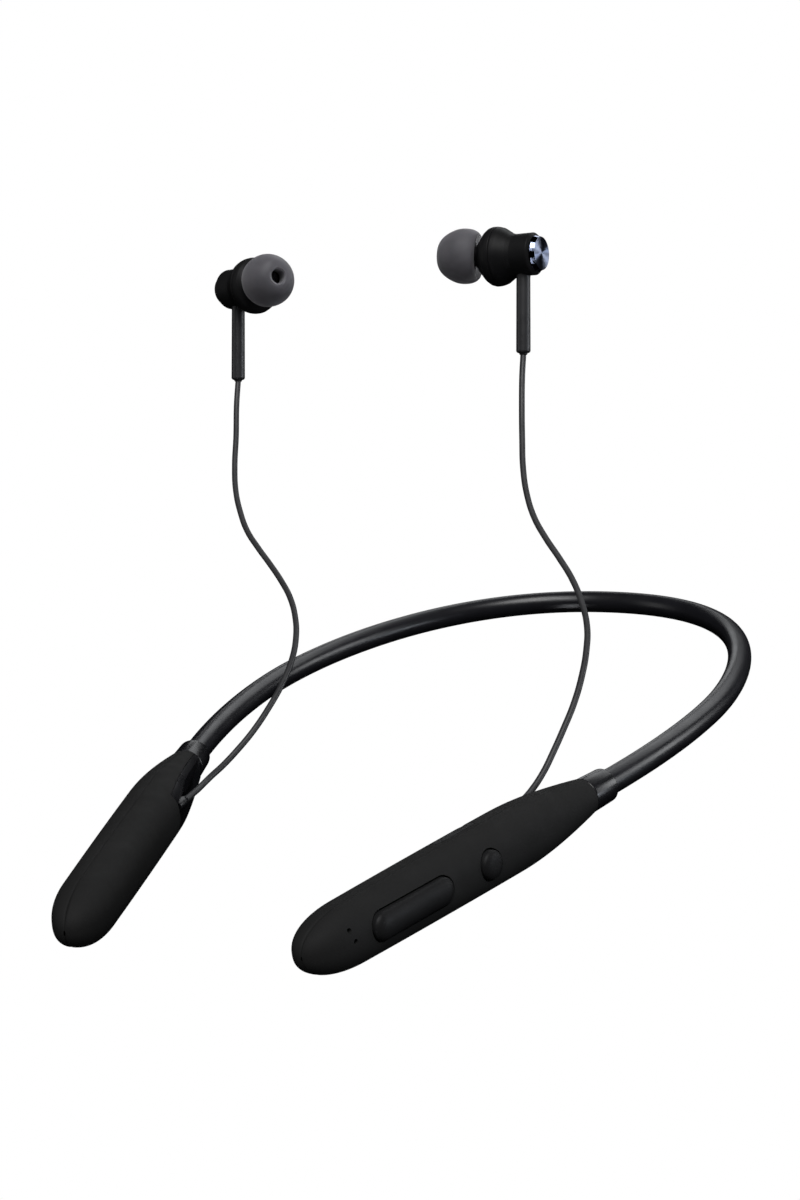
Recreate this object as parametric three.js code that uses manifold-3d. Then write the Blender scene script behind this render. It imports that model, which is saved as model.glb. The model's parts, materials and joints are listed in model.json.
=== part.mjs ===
// Neckband earphones: a sprung tube for the neck, a housing on each end of it, and two
// earbuds on free cords. Millimetres, +Z up. The origin is the back of the neck: the inner
// side of the nape bend. The arms run forward along -Y and the wearer's left is +X.
import * as THREE from 'three';
import { mergeVertices } from 'three/addons/utils/BufferGeometryUtils.js';
import Module from 'manifold-3d';

const wasm = await Module();
wasm.setup();

const GAP = 0.3;                       // between pieces that touch
const degrees = THREE.MathUtils.degToRad;

// Band
const TUBE_RADIUS = 2.6;
const TUBE_BORE_RADIUS = 1.7;
const BAND_HALF_WIDTH = 52.5;          // from the middle plane to an arm's centreline
const NAPE_FLATNESS = 40.2;            // reach of the nape's control point, sideways
const SHOULDER_REACH = 25.8;           // reach of the shoulder's control point, back
const SHOULDER_Y = -75.3;              // the arms are widest here
const ARM_END = { x: 45.7, y: -122.6 };
const ARM_REACH = { shoulder: 17.3, end: 14.3 };
const TOE_IN = degrees(15.3);          // how far the housings point inwards
const DROOP_SLOPE = 0.163;             // the band falls towards the chest, more and more
const DROOP_CURVE = 0.00029;
const HOUSING_DROOP = degrees(12.8);
const WIRE_RADIUS = 0.55;
const CABLE_RADIUS = 0.55;
const WIRE_OFFSET = 0.85;              // wire and cable lie side by side in the bore

// Housings on the arm ends; s is the distance along the axis from the end of the tube
const HOUSING_HEIGHT = 12.5;
const HOUSING_WIDTH = 11.8;
const HOUSING_REAR = 5;
const SHOULDER_S = 30;                 // full section from here
const TIP_START_S = 73;
const HOUSING_LENGTH = 86.9;
const REAR_RADIUS = 3.75;
const SECTION_POWER = 2.35;            // 2 is an ellipse, more is squarer
const SECTION_SIDES = 24;
const WALL = 1.2;
const PARTING_X = 0.6;                 // the two shells meet on this plane
const COLLAR_START_S = -2.2;
const COLLAR_RADIUS = 3.5;
const SPIGOT_RADIUS = 2.3;             // the collar's plug in the housing's rear
const SPIGOT_END_S = 11;
const CABLE_WAY_RADIUS = 1.75;
const PLATE_END_S = 31.4;              // the flat plate that the cord comes out of
const PLATE_THICKNESS = 1.0;
const PLATE_DEPTH = { rear: 3.15, front: 5.45 };
const GROMMET_RADIUS = 1.25;
const OUTLET = { s: 27.2, x: -4.95, z: 1.1, tilt: degrees(11) };
const FAR = 20;                        // well outside a housing

// Controls on the left-hand housing
const BOARD = { x: 0.6, thickness: 1.0, height: 7.6, start: 21, end: 76 };
const ROCKER = { s: 62.6, z: 0.5, length: 21.6, width: 5.2, proud: 1.1 };
const BUTTON = { s: 40.7, z: 0.4, radius: 2.75, proud: 1.1 };
const PRESS_TRAVEL = 0.35;
const SWITCH = { width: 3.0, height: 1.5, plunger: 0.75, proud: 0.35 };
const KEY_FOOT = { radius: 0.9, height: 0.4 };
const KEY_CROWN = 0.6;                 // the height of a key's rounded top
const MIC_HOLE = { s: 78.6, z: 2.6, radius: 0.5 };
const LED_HOLE = { s: 77.9, z: 0.4, radius: 0.5 };
const PORT = { s: 42.2, x: -2.6, length: 8.9, width: 3.2, depth: 6.2 };
const FLAP = { start: 36.4, end: 47.6, width: 4.6, thickness: 1.0 };

// Earbuds; x runs along the housing from the cap to the ear, from the stem's axis
const STEM_RADIUS = 1.55;
const STEM_BOTTOM = -21.5;
const BULGE_RADIUS = 6.55;
const BULGE_X = 6.3;
const SEAM_X = 5.6;
const CAP_RADIUS = 3.95;
const CAP_FACE_RADIUS = 3.6;           // inside a steep chamfer
const CAP_SEAT_X = -3.2;
const CAP_FACE_X = -4.5;
const POST_RADIUS = 1.2;
const NOZZLE_X = BULGE_X + 0.5;        // where the nozzle's axis starts
const NOZZLE_TURN = degrees(-15);      // the nozzle points forwards of the housing
const NOZZLE_RISE = degrees(3);
const NOZZLE_RADIUS = 2.3;
const NOZZLE_BORE = 1.5;
const TIP_RADIUS = 6.1;
const TIP_LENGTH = 9.2;
const TIP_FRONT = 13.0;                // along the nozzle
const DRIVER_RADIUS = 5.0;
const LEAN = { x: degrees(-5), y: degrees(-2.4) };    // the stems' feet hang forwards

const EARBUDS = {
  left: { at: [3.9, -62.9, 81.5], turn: degrees(-4) },
  right: { at: [-73.2, -52.9, 75.6], turn: degrees(-23) },
};

// Cords: their routes from the outlet in the housing up to the earbud's stem
const CORD_RADIUS = 0.65;
const CORD_ROUTES = {
  left: [
    [33.9, -145.1, -29.5], [34.0, -142.2, -28.7], [34.3, -138.9, -27.6], [35.2, -135.4, -26.2],
    [36.1, -132.3, -24.2], [37.0, -129.1, -21.3], [37.6, -125.8, -17.9], [38.1, -121.9, -13.9],
    [38.5, -117.4, -9.2], [38.1, -112.2, -4.1], [37.1, -107.5, 0.4], [35.4, -103.0, 4.7],
    [32.4, -98.7, 9.3], [28.9, -95.3, 13.6], [24.9, -92.4, 17.5], [20.7, -89.7, 21.4],
    [16.8, -86.7, 25.5], [13.5, -83.0, 30.3], [10.8, -78.7, 35.6], [8.6, -74.1, 41.5],
    [6.6, -69.7, 48.0], [5.4, -66.8, 54.9], [4.8, -64.8, 59.8],
  ],
  right: [
    [-33.9, -145.1, -29.5], [-34.1, -142.4, -28.9], [-34.3, -139.5, -28.2], [-34.6, -136.5, -27.4],
    [-34.6, -133.4, -26.3], [-33.9, -130.0, -24.6], [-32.7, -126.2, -21.9], [-31.4, -121.8, -18.4],
    [-30.5, -116.4, -13.9], [-30.4, -110.4, -9.2], [-31.1, -105.2, -5.0], [-32.8, -100.2, -1.0],
    [-35.4, -95.6, 2.9], [-38.8, -91.6, 6.8], [-42.9, -88.3, 10.3], [-47.2, -85.5, 13.6],
    [-51.6, -82.9, 16.9], [-55.9, -80.1, 20.4], [-59.6, -76.7, 24.5], [-62.8, -73.0, 29.0],
    [-65.7, -68.3, 34.5], [-68.3, -63.0, 41.2], [-71.0, -57.9, 48.4], [-72.3, -54.8, 53.9],
  ],
};

// Colours, roughness and metalness
const FINISHES = {
  matteBlack: [0x1b1b1c, 0.75, 0],
  satinBlack: [0x141416, 0.35, 0],
  glossBlack: [0x0c0c0e, 0.15, 0],
  greySilicone: [0x4a484c, 0.6, 0],
  stemGrey: [0x2b2b2e, 0.45, 0],
  metal: [0xb9bfd2, 0.25, 1],
  spring: [0xa8a8a4, 0.35, 1],
  board: [0x1c4a2c, 0.55, 0],
  chip: [0x17171a, 0.5, 0],
  cell: [0x9aa2ac, 0.4, 0.3],
  cable: [0x1d1d20, 0.55, 0],
  lens: [0xd8e2ea, 0.2, 0],
};

// Solids

function toSolid(geometry) {
  const bare = geometry.clone();
  for (const name of Object.keys(bare.attributes)) {
    if (name !== 'position') bare.deleteAttribute(name);
  }
  const merged = mergeVertices(bare, 1e-4);
  return new wasm.Manifold(new wasm.Mesh({
    numProp: 3,
    vertProperties: new Float32Array(merged.attributes.position.array),
    triVerts: new Uint32Array(merged.index.array),
  }));
}

function toGeometry(solid) {
  const mesh = solid.getMesh();
  const geometry = new THREE.BufferGeometry();
  geometry.setAttribute('position', new THREE.BufferAttribute(mesh.vertProperties, 3));
  geometry.setIndex(new THREE.BufferAttribute(mesh.triVerts, 1));
  geometry.computeVertexNormals();
  return geometry;
}

// Adds, cuts and keeps what lies inside `within`, in that order.
function shape(geometry, { add = [], cut = [], within = [] } = {}) {
  let solid = toSolid(geometry);
  for (const other of add) solid = solid.add(toSolid(other));
  for (const other of cut) solid = solid.subtract(toSolid(other));
  for (const other of within) solid = solid.intersect(toSolid(other));
  return toGeometry(solid);
}

function box(low, high) {
  const size = high.map((value, i) => value - low[i]);
  const middle = high.map((value, i) => (value + low[i]) / 2);
  return new THREE.BoxGeometry(...size).translate(...middle);
}

// A cylinder or cone along +X, +Y or +Z from `start` to `end` on that axis.
function rod(axis, start, end, radius, { endRadius = radius, sides = 20, at = [0, 0, 0] } = {}) {
  const geometry = new THREE.CylinderGeometry(endRadius, radius, end - start, sides);
  geometry.translate(0, (start + end) / 2, 0);
  if (axis === 'x') geometry.rotateZ(-Math.PI / 2);
  if (axis === 'z') geometry.rotateX(Math.PI / 2);
  return geometry.translate(...at);
}

// A solid of revolution about the X axis; the profile is a list of [x, radius].
function turned(profile, sides = 20) {
  const points = profile.map(([x, radius]) => new THREE.Vector2(radius, x));
  return new THREE.LatheGeometry(points, sides).rotateZ(-Math.PI / 2);
}

// A block with round ends, lying in the YZ plane, from x = low to x = high.
function capsule(low, high, s, z, length, width) {
  const straight = (length - width) / 2;
  const outline = new THREE.Shape();
  outline.absarc(straight, 0, width / 2, -Math.PI / 2, Math.PI / 2);
  outline.absarc(-straight, 0, width / 2, Math.PI / 2, 1.5 * Math.PI);
  const geometry = new THREE.ExtrudeGeometry(outline, {
    depth: high - low, bevelEnabled: false, curveSegments: 8,
  });
  geometry.rotateX(Math.PI / 2).rotateZ(Math.PI / 2);
  return geometry.translate(low, -s, z);
}

function mirrored(geometry) {
  const flipped = geometry.index ? geometry.toNonIndexed() : geometry.clone();
  flipped.scale(-1, 1, 1);
  const position = flipped.attributes.position;
  for (let i = 0; i < position.count; i += 3) {
    const corner = new THREE.Vector3().fromBufferAttribute(position, i);
    const last = new THREE.Vector3().fromBufferAttribute(position, i + 2);
    position.setXYZ(i, ...last);
    position.setXYZ(i + 2, ...corner);
  }
  flipped.computeVertexNormals();
  return flipped;
}

// Closed skin through rings of points that all have the same count.
function loft(rings) {
  const sides = rings[0].length;
  const points = rings.flat();
  const faces = [];
  for (let i = 0; i + 1 < rings.length; i++) {
    for (let j = 0; j < sides; j++) {
      const a = i * sides + j;
      const b = i * sides + (j + 1) % sides;
      faces.push(a, a + sides, b, b, a + sides, b + sides);
    }
  }
  const first = points.length;
  for (const ring of [rings[0], rings.at(-1)]) {
    const middle = ring.reduce((sum, point) => sum.add(point), new THREE.Vector3());
    points.push(middle.divideScalar(sides));
  }
  const lastRing = (rings.length - 1) * sides;
  for (let j = 0; j < sides; j++) {
    const k = (j + 1) % sides;
    faces.push(first, j, k, first + 1, lastRing + k, lastRing + j);
  }
  const geometry = new THREE.BufferGeometry().setFromPoints(points);
  geometry.setIndex(faces);
  return geometry;
}

function node(name, geometry, finish) {
  const [color, roughness, metalness] = FINISHES[finish];
  const mesh = new THREE.Mesh(
    geometry, new THREE.MeshStandardMaterial({ color, roughness, metalness }));
  mesh.name = name;
  return mesh;
}

// Band

// The height of the band's centreline at y.
function droop(y) {
  const forward = TUBE_RADIUS - y;
  return -DROOP_SLOPE * forward - DROOP_CURVE * forward ** 2;
}

class BandCurve extends THREE.Curve {
  constructor(offset = 0) {
    super();
    this.offset = offset;
    const forward = new THREE.Vector2(-Math.sin(TOE_IN), -Math.cos(TOE_IN));
    const end = new THREE.Vector2(ARM_END.x, ARM_END.y);
    this.nape = new THREE.CubicBezierCurve(
      new THREE.Vector2(0, TUBE_RADIUS),
      new THREE.Vector2(NAPE_FLATNESS, TUBE_RADIUS),
      new THREE.Vector2(BAND_HALF_WIDTH, SHOULDER_Y + SHOULDER_REACH),
      new THREE.Vector2(BAND_HALF_WIDTH, SHOULDER_Y));
    this.arm = new THREE.CubicBezierCurve(
      new THREE.Vector2(BAND_HALF_WIDTH, SHOULDER_Y),
      new THREE.Vector2(BAND_HALF_WIDTH, SHOULDER_Y - ARM_REACH.shoulder),
      end.clone().addScaledVector(forward, -ARM_REACH.end),
      end);
    this.napeShare = this.nape.getLength() / (this.nape.getLength() + this.arm.getLength());
  }

  // t runs from the end of one arm, 0, to the end of the other, 1.
  getPoint(t, target = new THREE.Vector3()) {
    const side = t < 0.5 ? -1 : 1;
    const share = Math.min(Math.abs(2 * t - 1), 1);
    const onNape = share < this.napeShare;
    const part = onNape ? this.nape : this.arm;
    const u = onNape ? share / this.napeShare : (share - this.napeShare) / (1 - this.napeShare);
    const place = part.getPointAt(u);
    const ahead = part.getTangentAt(u);
    const x = place.x - this.offset * ahead.y;
    const y = place.y + this.offset * ahead.x;
    return target.set(side * x, y, droop(place.y));
  }
}

// The same curve, carried on straight past both of its ends by a share of its parameter.
class ExtendedCurve extends THREE.Curve {
  constructor(curve, extra) {
    super();
    this.curve = curve;
    this.extra = extra;
  }

  getPoint(t, target = new THREE.Vector3()) {
    const wide = -this.extra + t * (1 + 2 * this.extra);
    const inside = Math.min(Math.max(wide, 0), 1);
    this.curve.getPoint(inside, target);
    const beyond = wide - inside;
    if (beyond === 0) return target;
    return target.addScaledVector(this.curve.getTangent(inside), beyond * this.curve.getLength());
  }
}

function circle(radius, sides) {
  const points = [];
  for (let i = 0; i < sides; i++) {
    const angle = 2 * Math.PI * (i + 0.5) / sides;
    points.push(new THREE.Vector2(radius * Math.cos(angle), radius * Math.sin(angle)));
  }
  return new THREE.Shape(points);
}

function sweep(curve, radius, sides, steps) {
  return new THREE.ExtrudeGeometry(circle(radius, sides), {
    steps, bevelEnabled: false, extrudePath: curve,
  });
}

function buildBand() {
  const group = new THREE.Group();
  const steps = 48;
  const skin = sweep(new BandCurve(), TUBE_RADIUS, 12, steps);
  const bore = sweep(new ExtendedCurve(new BandCurve(), 0.004), TUBE_BORE_RADIUS, 8, steps);
  group.add(node('band_tube', shape(skin, { cut: [bore] }), 'satinBlack'));
  const wire = new BandCurve(WIRE_OFFSET);
  const cable = new BandCurve(-WIRE_OFFSET);
  group.add(node('spring_wire', sweep(wire, WIRE_RADIUS, 6, steps), 'spring'));
  group.add(node('band_cable', sweep(cable, CABLE_RADIUS, 6, steps), 'cable'));
  return group;
}

// Housings

// Half the height of the housing at s.
function housingRadius(s) {
  const full = HOUSING_HEIGHT / 2;
  if (s < SHOULDER_S) {
    const u = (s - HOUSING_REAR) / (SHOULDER_S - HOUSING_REAR);
    return REAR_RADIUS + (full - REAR_RADIUS) * Math.sin(u * Math.PI / 2) ** 0.95;
  }
  if (s < TIP_START_S) {
    const u = (s - SHOULDER_S) / (TIP_START_S - SHOULDER_S);
    return full - 0.3 * u * u;
  }
  const u = (s - TIP_START_S) / (HOUSING_LENGTH - TIP_START_S);
  return (full - 0.3) * Math.max(1 - u ** 2.3, 0) ** (1 / 2.3);
}

function housingRing(s, inset) {
  const height = housingRadius(s) - inset;
  const roundness = Math.min(Math.max((s - HOUSING_REAR) / 20, 0), 1);
  const width = height * (1 + (HOUSING_WIDTH / HOUSING_HEIGHT - 1) * roundness);
  const power = 2 / (2 + (SECTION_POWER - 2) * roundness);
  const ring = [];
  for (let i = 0; i < SECTION_SIDES; i++) {
    const angle = -2 * Math.PI * i / SECTION_SIDES;
    const across = Math.cos(angle);
    const up = Math.sin(angle);
    ring.push(new THREE.Vector3(
      width * Math.sign(across) * Math.abs(across) ** power,
      -s,
      height * Math.sign(up) * Math.abs(up) ** power));
  }
  return ring;
}

function housingBody() {
  const stations = [
    HOUSING_REAR, 8, 12, 18, 24, SHOULDER_S, 50, TIP_START_S, 78, 82, 84.6, 86.1, 86.7,
  ];
  return loft(stations.map((s) => housingRing(s, 0)));
}

function housingCavity() {
  const stations = [10.5, 13, 18, 24, SHOULDER_S, 50, TIP_START_S, 78, 82, 84.1, 85.1];
  return loft(stations.map((s) => housingRing(s, WALL)));
}

// The slab of the outlet plate, from `low` to `high` beyond its outer face, towards the middle.
function plateSlab(low, high, start, end) {
  const run = PLATE_END_S - HOUSING_REAR;
  const slope = Math.atan((PLATE_DEPTH.front - PLATE_DEPTH.rear) / run);
  const slab = box([low, HOUSING_REAR - end, -FAR], [high, HOUSING_REAR - start, FAR]);
  slab.rotateZ(-slope);
  return slab.translate(-PLATE_DEPTH.rear, -HOUSING_REAR, 0);
}

function plateCut() {
  return plateSlab(-FAR, PLATE_THICKNESS + GAP, -HOUSING_REAR, PLATE_END_S + GAP);
}

function spigotHole() {
  return rod('y', -SPIGOT_END_S - 2, FAR, SPIGOT_RADIUS + GAP);
}

function collarAndPlate() {
  const collar = rod('y', -HOUSING_REAR + GAP, -COLLAR_START_S, REAR_RADIUS, {
    endRadius: COLLAR_RADIUS,
  });
  const spigot = rod('y', -SPIGOT_END_S, 0, SPIGOT_RADIUS);
  const plate = shape(plateSlab(0, PLATE_THICKNESS, 0, PLATE_END_S), { within: [housingBody()] });
  const socket = rod('y', -GAP, FAR, TUBE_RADIUS + GAP);
  const cableWay = rod('y', -PLATE_END_S, FAR, CABLE_WAY_RADIUS, { sides: 12 });
  return shape(collar, { add: [spigot, plate], cut: [socket, cableWay, outletHole()] });
}

// The cord comes out of the plate along the outlet's own axis, in a groove.
function alongOutlet(geometry) {
  return geometry.rotateZ(OUTLET.tilt).translate(OUTLET.x, -OUTLET.s, OUTLET.z);
}

function outletHole() {
  return alongOutlet(rod('y', -8, 4, GROMMET_RADIUS + GAP, { sides: 16 }));
}

function outletGrommet() {
  return alongOutlet(rod('y', -2.2, 1.7, GROMMET_RADIUS, {
    endRadius: GROMMET_RADIUS - GAP, sides: 16,
  }));
}

// The openings for the keys, the microphone and the status light.
function controlHoles() {
  const room = GAP + 0.05;
  const rocker = capsule(
    0, FAR, ROCKER.s, ROCKER.z, ROCKER.length + 2 * room, ROCKER.width + 2 * room);
  const button = rod('x', 0, FAR, BUTTON.radius + room, { at: [0, -BUTTON.s, BUTTON.z] });
  const pinholes = [MIC_HOLE, LED_HOLE].map(({ s, z, radius }) => rod('x', 2, FAR, radius, {
    sides: 10, at: [0, -s, z],
  }));
  return [rocker, button, ...pinholes];
}

function outerShell(controls) {
  const inward = box([-FAR, -HOUSING_LENGTH - 1, -FAR], [PARTING_X + GAP / 2, FAR, FAR]);
  const cut = [housingCavity(), inward, plateCut(), spigotHole()];
  if (controls) cut.push(...controlHoles());
  return shape(housingBody(), { cut });
}

// The flap's recess and the well under it for the port.
function portHoles() {
  const half = FLAP.width / 2 + GAP;
  const recess = box(
    [PORT.x - half, -FLAP.end - GAP, flapBase() - GAP], [PORT.x + half, -FLAP.start + GAP, FAR]);
  const wide = PORT.width / 2 + GAP;
  const long = PORT.length / 2 + GAP;
  const well = box([PORT.x - wide, -PORT.s - long, 0], [PORT.x + wide, -PORT.s + long, FAR]);
  return [recess, well];
}

function innerShell(controls) {
  const outward = box([PARTING_X - GAP / 2, -HOUSING_LENGTH - 1, -FAR], [FAR, FAR, FAR]);
  const cut = [housingCavity(), outward, plateCut(), spigotHole(), outletHole()];
  if (controls) cut.push(...portHoles());
  return shape(housingBody(), { cut });
}

function flapBase() {
  return HOUSING_HEIGHT / 2 - FLAP.thickness - 0.55;
}

function portFlap() {
  const low = [PORT.x - FLAP.width / 2, -FLAP.end, flapBase()];
  const high = [PORT.x + FLAP.width / 2, -FLAP.start, FAR];
  return shape(box(low, high), { within: [housingBody()] });
}

// A socket with its mouth upwards and a tongue down its middle.
function chargingPort() {
  const wall = 0.4;
  const wide = PORT.width / 2;
  const long = PORT.length / 2;
  const top = flapBase() - 2 * GAP;
  const floor = top - PORT.depth;
  const outside = box([PORT.x - wide, -PORT.s - long, floor], [PORT.x + wide, -PORT.s + long, top]);
  const mouth = box(
    [PORT.x - wide + wall, -PORT.s - long + wall, floor + 1],
    [PORT.x + wide - wall, -PORT.s + long - wall, top + 1]);
  const tongue = box(
    [PORT.x - 0.35, -PORT.s - long + 1.25, floor + 0.5],
    [PORT.x + 0.35, -PORT.s + long - 1.25, top - 1]);
  return shape(outside, { cut: [mouth], add: [tongue] });
}

function boardPlate() {
  return box([BOARD.x, -BOARD.end, -BOARD.height / 2],
    [BOARD.x + BOARD.thickness, -BOARD.start, BOARD.height / 2]);
}

function switchBase() {
  return BOARD.x + BOARD.thickness + GAP / 2;
}

function switchTop() {
  return switchBase() + SWITCH.height + SWITCH.proud;
}

// A push switch on the board's outer face, with its plunger pointing out.
function pushSwitch(s, z) {
  const base = switchBase();
  const half = SWITCH.width / 2;
  const can = box([base, -s - half, z - half], [base + SWITCH.height, -s + half, z + half]);
  const plunger = rod('x', base, switchTop(), SWITCH.plunger, { sides: 12, at: [0, -s, z] });
  return shape(can, { add: [plunger] });
}

// The face that a key's feet press from.
function keyBase() {
  return switchTop() + PRESS_TRAVEL + 0.1;
}

// How far each end's foot is from the rocker's middle.
function rockerReach() {
  return ROCKER.length / 2 - 4;
}

function rockerKey() {
  const { s, z, length, width } = ROCKER;
  const face = HOUSING_WIDTH / 2 + ROCKER.proud;
  const flange = keyBase() + KEY_FOOT.height;
  const key = capsule(flange, face - KEY_CROWN, s, z, length, width);
  const crown = capsule(flange, face, s, z, length - 2 * KEY_CROWN, width - 2 * KEY_CROWN);
  const feet = [-1, 1].map((end) => rod('x', keyBase(), flange + GAP, KEY_FOOT.radius, {
    sides: 12, at: [0, -s + end * rockerReach(), z],
  }));
  return shape(key, { add: [crown, ...feet] });
}

function roundKey() {
  const { s, z, radius } = BUTTON;
  const at = [0, -s, z];
  const face = HOUSING_WIDTH / 2 + BUTTON.proud;
  const flange = keyBase() + KEY_FOOT.height;
  const body = rod('x', flange, face - KEY_CROWN, radius, { at });
  const crown = rod('x', face - KEY_CROWN, face, radius, { endRadius: radius - KEY_CROWN, at });
  const foot = rod('x', keyBase(), flange + GAP, KEY_FOOT.radius, { sides: 12, at });
  return shape(body, { add: [crown, foot] });
}

function microphone() {
  const base = BOARD.x - GAP / 2;
  return box([base - 1.1, -75.5, 1.2], [base, -72, 3.6]);
}

function statusLight() {
  const at = [0, -LED_HOLE.s, LED_HOLE.z];
  const pipe = rod('x', 2.6, HOUSING_WIDTH / 2 - 1.0, LED_HOLE.radius - 0.2, { sides: 10, at });
  const chip = rod('x', 1.9, 2.7, 0.8, { sides: 12, at });
  return shape(pipe, { add: [chip] });
}

function batteryCell() {
  return box([-2.9, -78, -3.6], [2.9, -36, 3.6]);
}

function batteryBoard() {
  return box([-2.7, -34.5, -0.5], [2.7, -30, 0.5]);
}

function housingPieces(side, controls) {
  const pieces = [
    [`${side}_outer_shell`, outerShell(controls), 'matteBlack'],
    [`${side}_inner_shell`, innerShell(controls), 'matteBlack'],
    [`${side}_collar`, collarAndPlate(), 'glossBlack'],
    [`${side}_cord_grommet`, outletGrommet(), 'glossBlack'],
  ];
  if (!controls) {
    pieces.push(
      ['battery', batteryCell(), 'cell'],
      ['battery_board', batteryBoard(), 'board']);
    return pieces;
  }
  const chipBase = BOARD.x - GAP / 2;
  const [upSwitch, downSwitch] = [-1, 1].map(
    (end) => pushSwitch(ROCKER.s - end * rockerReach(), ROCKER.z));
  pieces.push(
    ['circuit_board', boardPlate(), 'board'],
    ['bluetooth_module', box([chipBase - 1.4, -66, -3], [chipBase, -53, 3]), 'chip'],
    ['charging_port', chargingPort(), 'metal'],
    ['port_flap', portFlap(), 'matteBlack'],
    ['microphone', microphone(), 'metal'],
    ['status_light', statusLight(), 'lens'],
    ['volume_up_switch', upSwitch, 'metal'],
    ['volume_down_switch', downSwitch, 'metal'],
    ['function_switch', pushSwitch(BUTTON.s, BUTTON.z), 'metal'],
    ['volume_rocker', rockerKey(), 'matteBlack'],
    ['function_button', roundKey(), 'matteBlack']);
  return pieces;
}

function buildHousing(side, controls) {
  const hand = side === 'left' ? 1 : -1;
  const group = new THREE.Group();
  for (const [name, geometry, finish] of housingPieces(side, controls)) {
    group.add(node(name, hand > 0 ? geometry : mirrored(geometry), finish));
  }
  group.position.set(hand * ARM_END.x, ARM_END.y, droop(ARM_END.y));
  group.rotation.set(HOUSING_DROOP, 0, -hand * TOE_IN, 'ZXY');
  return group;
}

// Earbuds

function alongNozzle(geometry) {
  geometry.rotateY(-NOZZLE_RISE);
  geometry.rotateZ(NOZZLE_TURN);
  return geometry.translate(NOZZLE_X, 0, 0);
}

function budBody() {
  return turned([
    [CAP_SEAT_X, 0], [CAP_SEAT_X, 4.1], [-2.7, 4.7], [0, 4.6], [1.6, 4.6], [3.1, 5.25],
    [4.2, 6.1], [SEAM_X, 6.5], [BULGE_X + 0.4, BULGE_RADIUS], [7.7, 6.1], [8.6, 5.2],
    [10.2, 3.3], [10.2, 0],
  ]);
}

function rearHousing() {
  const inside = turned([[-2.2, 0], [-2.2, 3.5], [2.4, 3.5], [4.2, DRIVER_RADIUS + GAP],
    [9, DRIVER_RADIUS + GAP], [9, 0]]);
  const ahead = box([SEAM_X - GAP / 2, -FAR, -FAR], [FAR, FAR, FAR]);
  const cordWay = rod('z', -9, 0, 0.9, { sides: 12 });
  const postHole = rod('x', -5, -2, POST_RADIUS + GAP, { sides: 12 });
  return shape(budBody(), { cut: [inside, ahead, cordWay, postHole] });
}

function frontHousing() {
  const behind = box([-FAR, -FAR, -FAR], [SEAM_X + GAP / 2, FAR, FAR]);
  const inside = turned([[0, 0], [0, DRIVER_RADIUS + GAP], [7.2, DRIVER_RADIUS + GAP],
    [8.3, 2.2], [8.3, 0]]);
  const nozzle = alongNozzle(rod('x', 0, 9.4, NOZZLE_RADIUS));
  const lip = alongNozzle(rod('x', 7.4, 8.6, NOZZLE_RADIUS + 0.4));
  const bore = alongNozzle(rod('x', -1, 12, NOZZLE_BORE, { sides: 16 }));
  const meshSeat = alongNozzle(rod('x', 8.7, 12, NOZZLE_BORE + 0.4, { sides: 16 }));
  return shape(budBody(), { add: [nozzle, lip], cut: [behind, inside, bore, meshSeat] });
}

// A mushroom of soft rubber: a sleeve on the nozzle under a dome that turns back over it.
function earTip() {
  const front = TIP_FRONT;
  const rear = front - TIP_LENGTH;
  const hole = NOZZLE_BORE + 0.15;
  const inner = NOZZLE_RADIUS + 0.4 + GAP;
  const sleeve = inner + 0.8;
  const profile = [
    [front, hole], [front, 2.3], [front - 0.5, 3.3], [front - 1.7, 4.5], [front - 3.4, 5.5],
    [front - 5.9, TIP_RADIUS], [front - 7.6, 5.9], [rear + 0.5, 5.3], [rear, 4.8],
    [rear + 0.1, 4.4], [front - 7.4, 5.2], [front - 5.6, 5.3], [front - 3.4, 4.7],
    [front - 2.6, 4.0], [front - 3.6, sleeve], [rear + 1.2, sleeve],
    [rear + 1.2, inner], [front - 3.2, inner], [front - 3.2, hole], [front, hole],
  ];
  return alongNozzle(turned(profile.reverse()));
}

function nozzleMesh() {
  return alongNozzle(rod('x', 8.9, 9.2, NOZZLE_BORE + 0.1, { sides: 16 }));
}

function driver() {
  const rim = DRIVER_RADIUS;
  return turned([[3.9, 0], [3.9, 2.8], [4.5, 2.8], [4.5, rim], [6.6, rim], [6.6, 4.4],
    [7.0, 4.0], [7.0, 0]]);
}

// A flat round face in a steep chamfer, on a post that plugs into the housing.
function metalCap() {
  const seat = CAP_SEAT_X - GAP / 2;
  const face = turned([
    [CAP_FACE_X, 0], [CAP_FACE_X, CAP_FACE_RADIUS], [seat - 0.15, CAP_RADIUS],
    [seat, CAP_RADIUS], [seat, 0],
  ], 32);
  const post = rod('x', seat - 0.1, -1.4, POST_RADIUS, { sides: 12 });
  return shape(face, { add: [post] });
}

function stem() {
  const sleeve = rod('z', STEM_BOTTOM, -4.9, STEM_RADIUS + 0.05, { endRadius: STEM_RADIUS });
  const neck = rod('z', -6, -4.2, 0.6, { sides: 12 });
  return shape(sleeve, { add: [neck] });
}

function earbudPieces(side) {
  return [
    [`${side}_ear_tip`, earTip(), 'greySilicone'],
    [`${side}_nozzle_mesh`, nozzleMesh(), 'metal'],
    [`${side}_front_housing`, frontHousing(), 'matteBlack'],
    [`${side}_driver`, driver(), 'metal'],
    [`${side}_rear_housing`, rearHousing(), 'matteBlack'],
    [`${side}_metal_cap`, metalCap(), 'metal'],
    [`${side}_stem`, stem(), 'stemGrey'],
  ];
}

function buildEarbud(side) {
  const group = new THREE.Group();
  for (const [name, geometry, finish] of earbudPieces(side)) {
    group.add(node(name, side === 'left' ? mirrored(geometry) : geometry, finish));
  }
  const { at, turn } = EARBUDS[side];
  group.position.set(...at);
  group.rotation.set(LEAN.x, LEAN.y, turn);
  return group;
}

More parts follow.
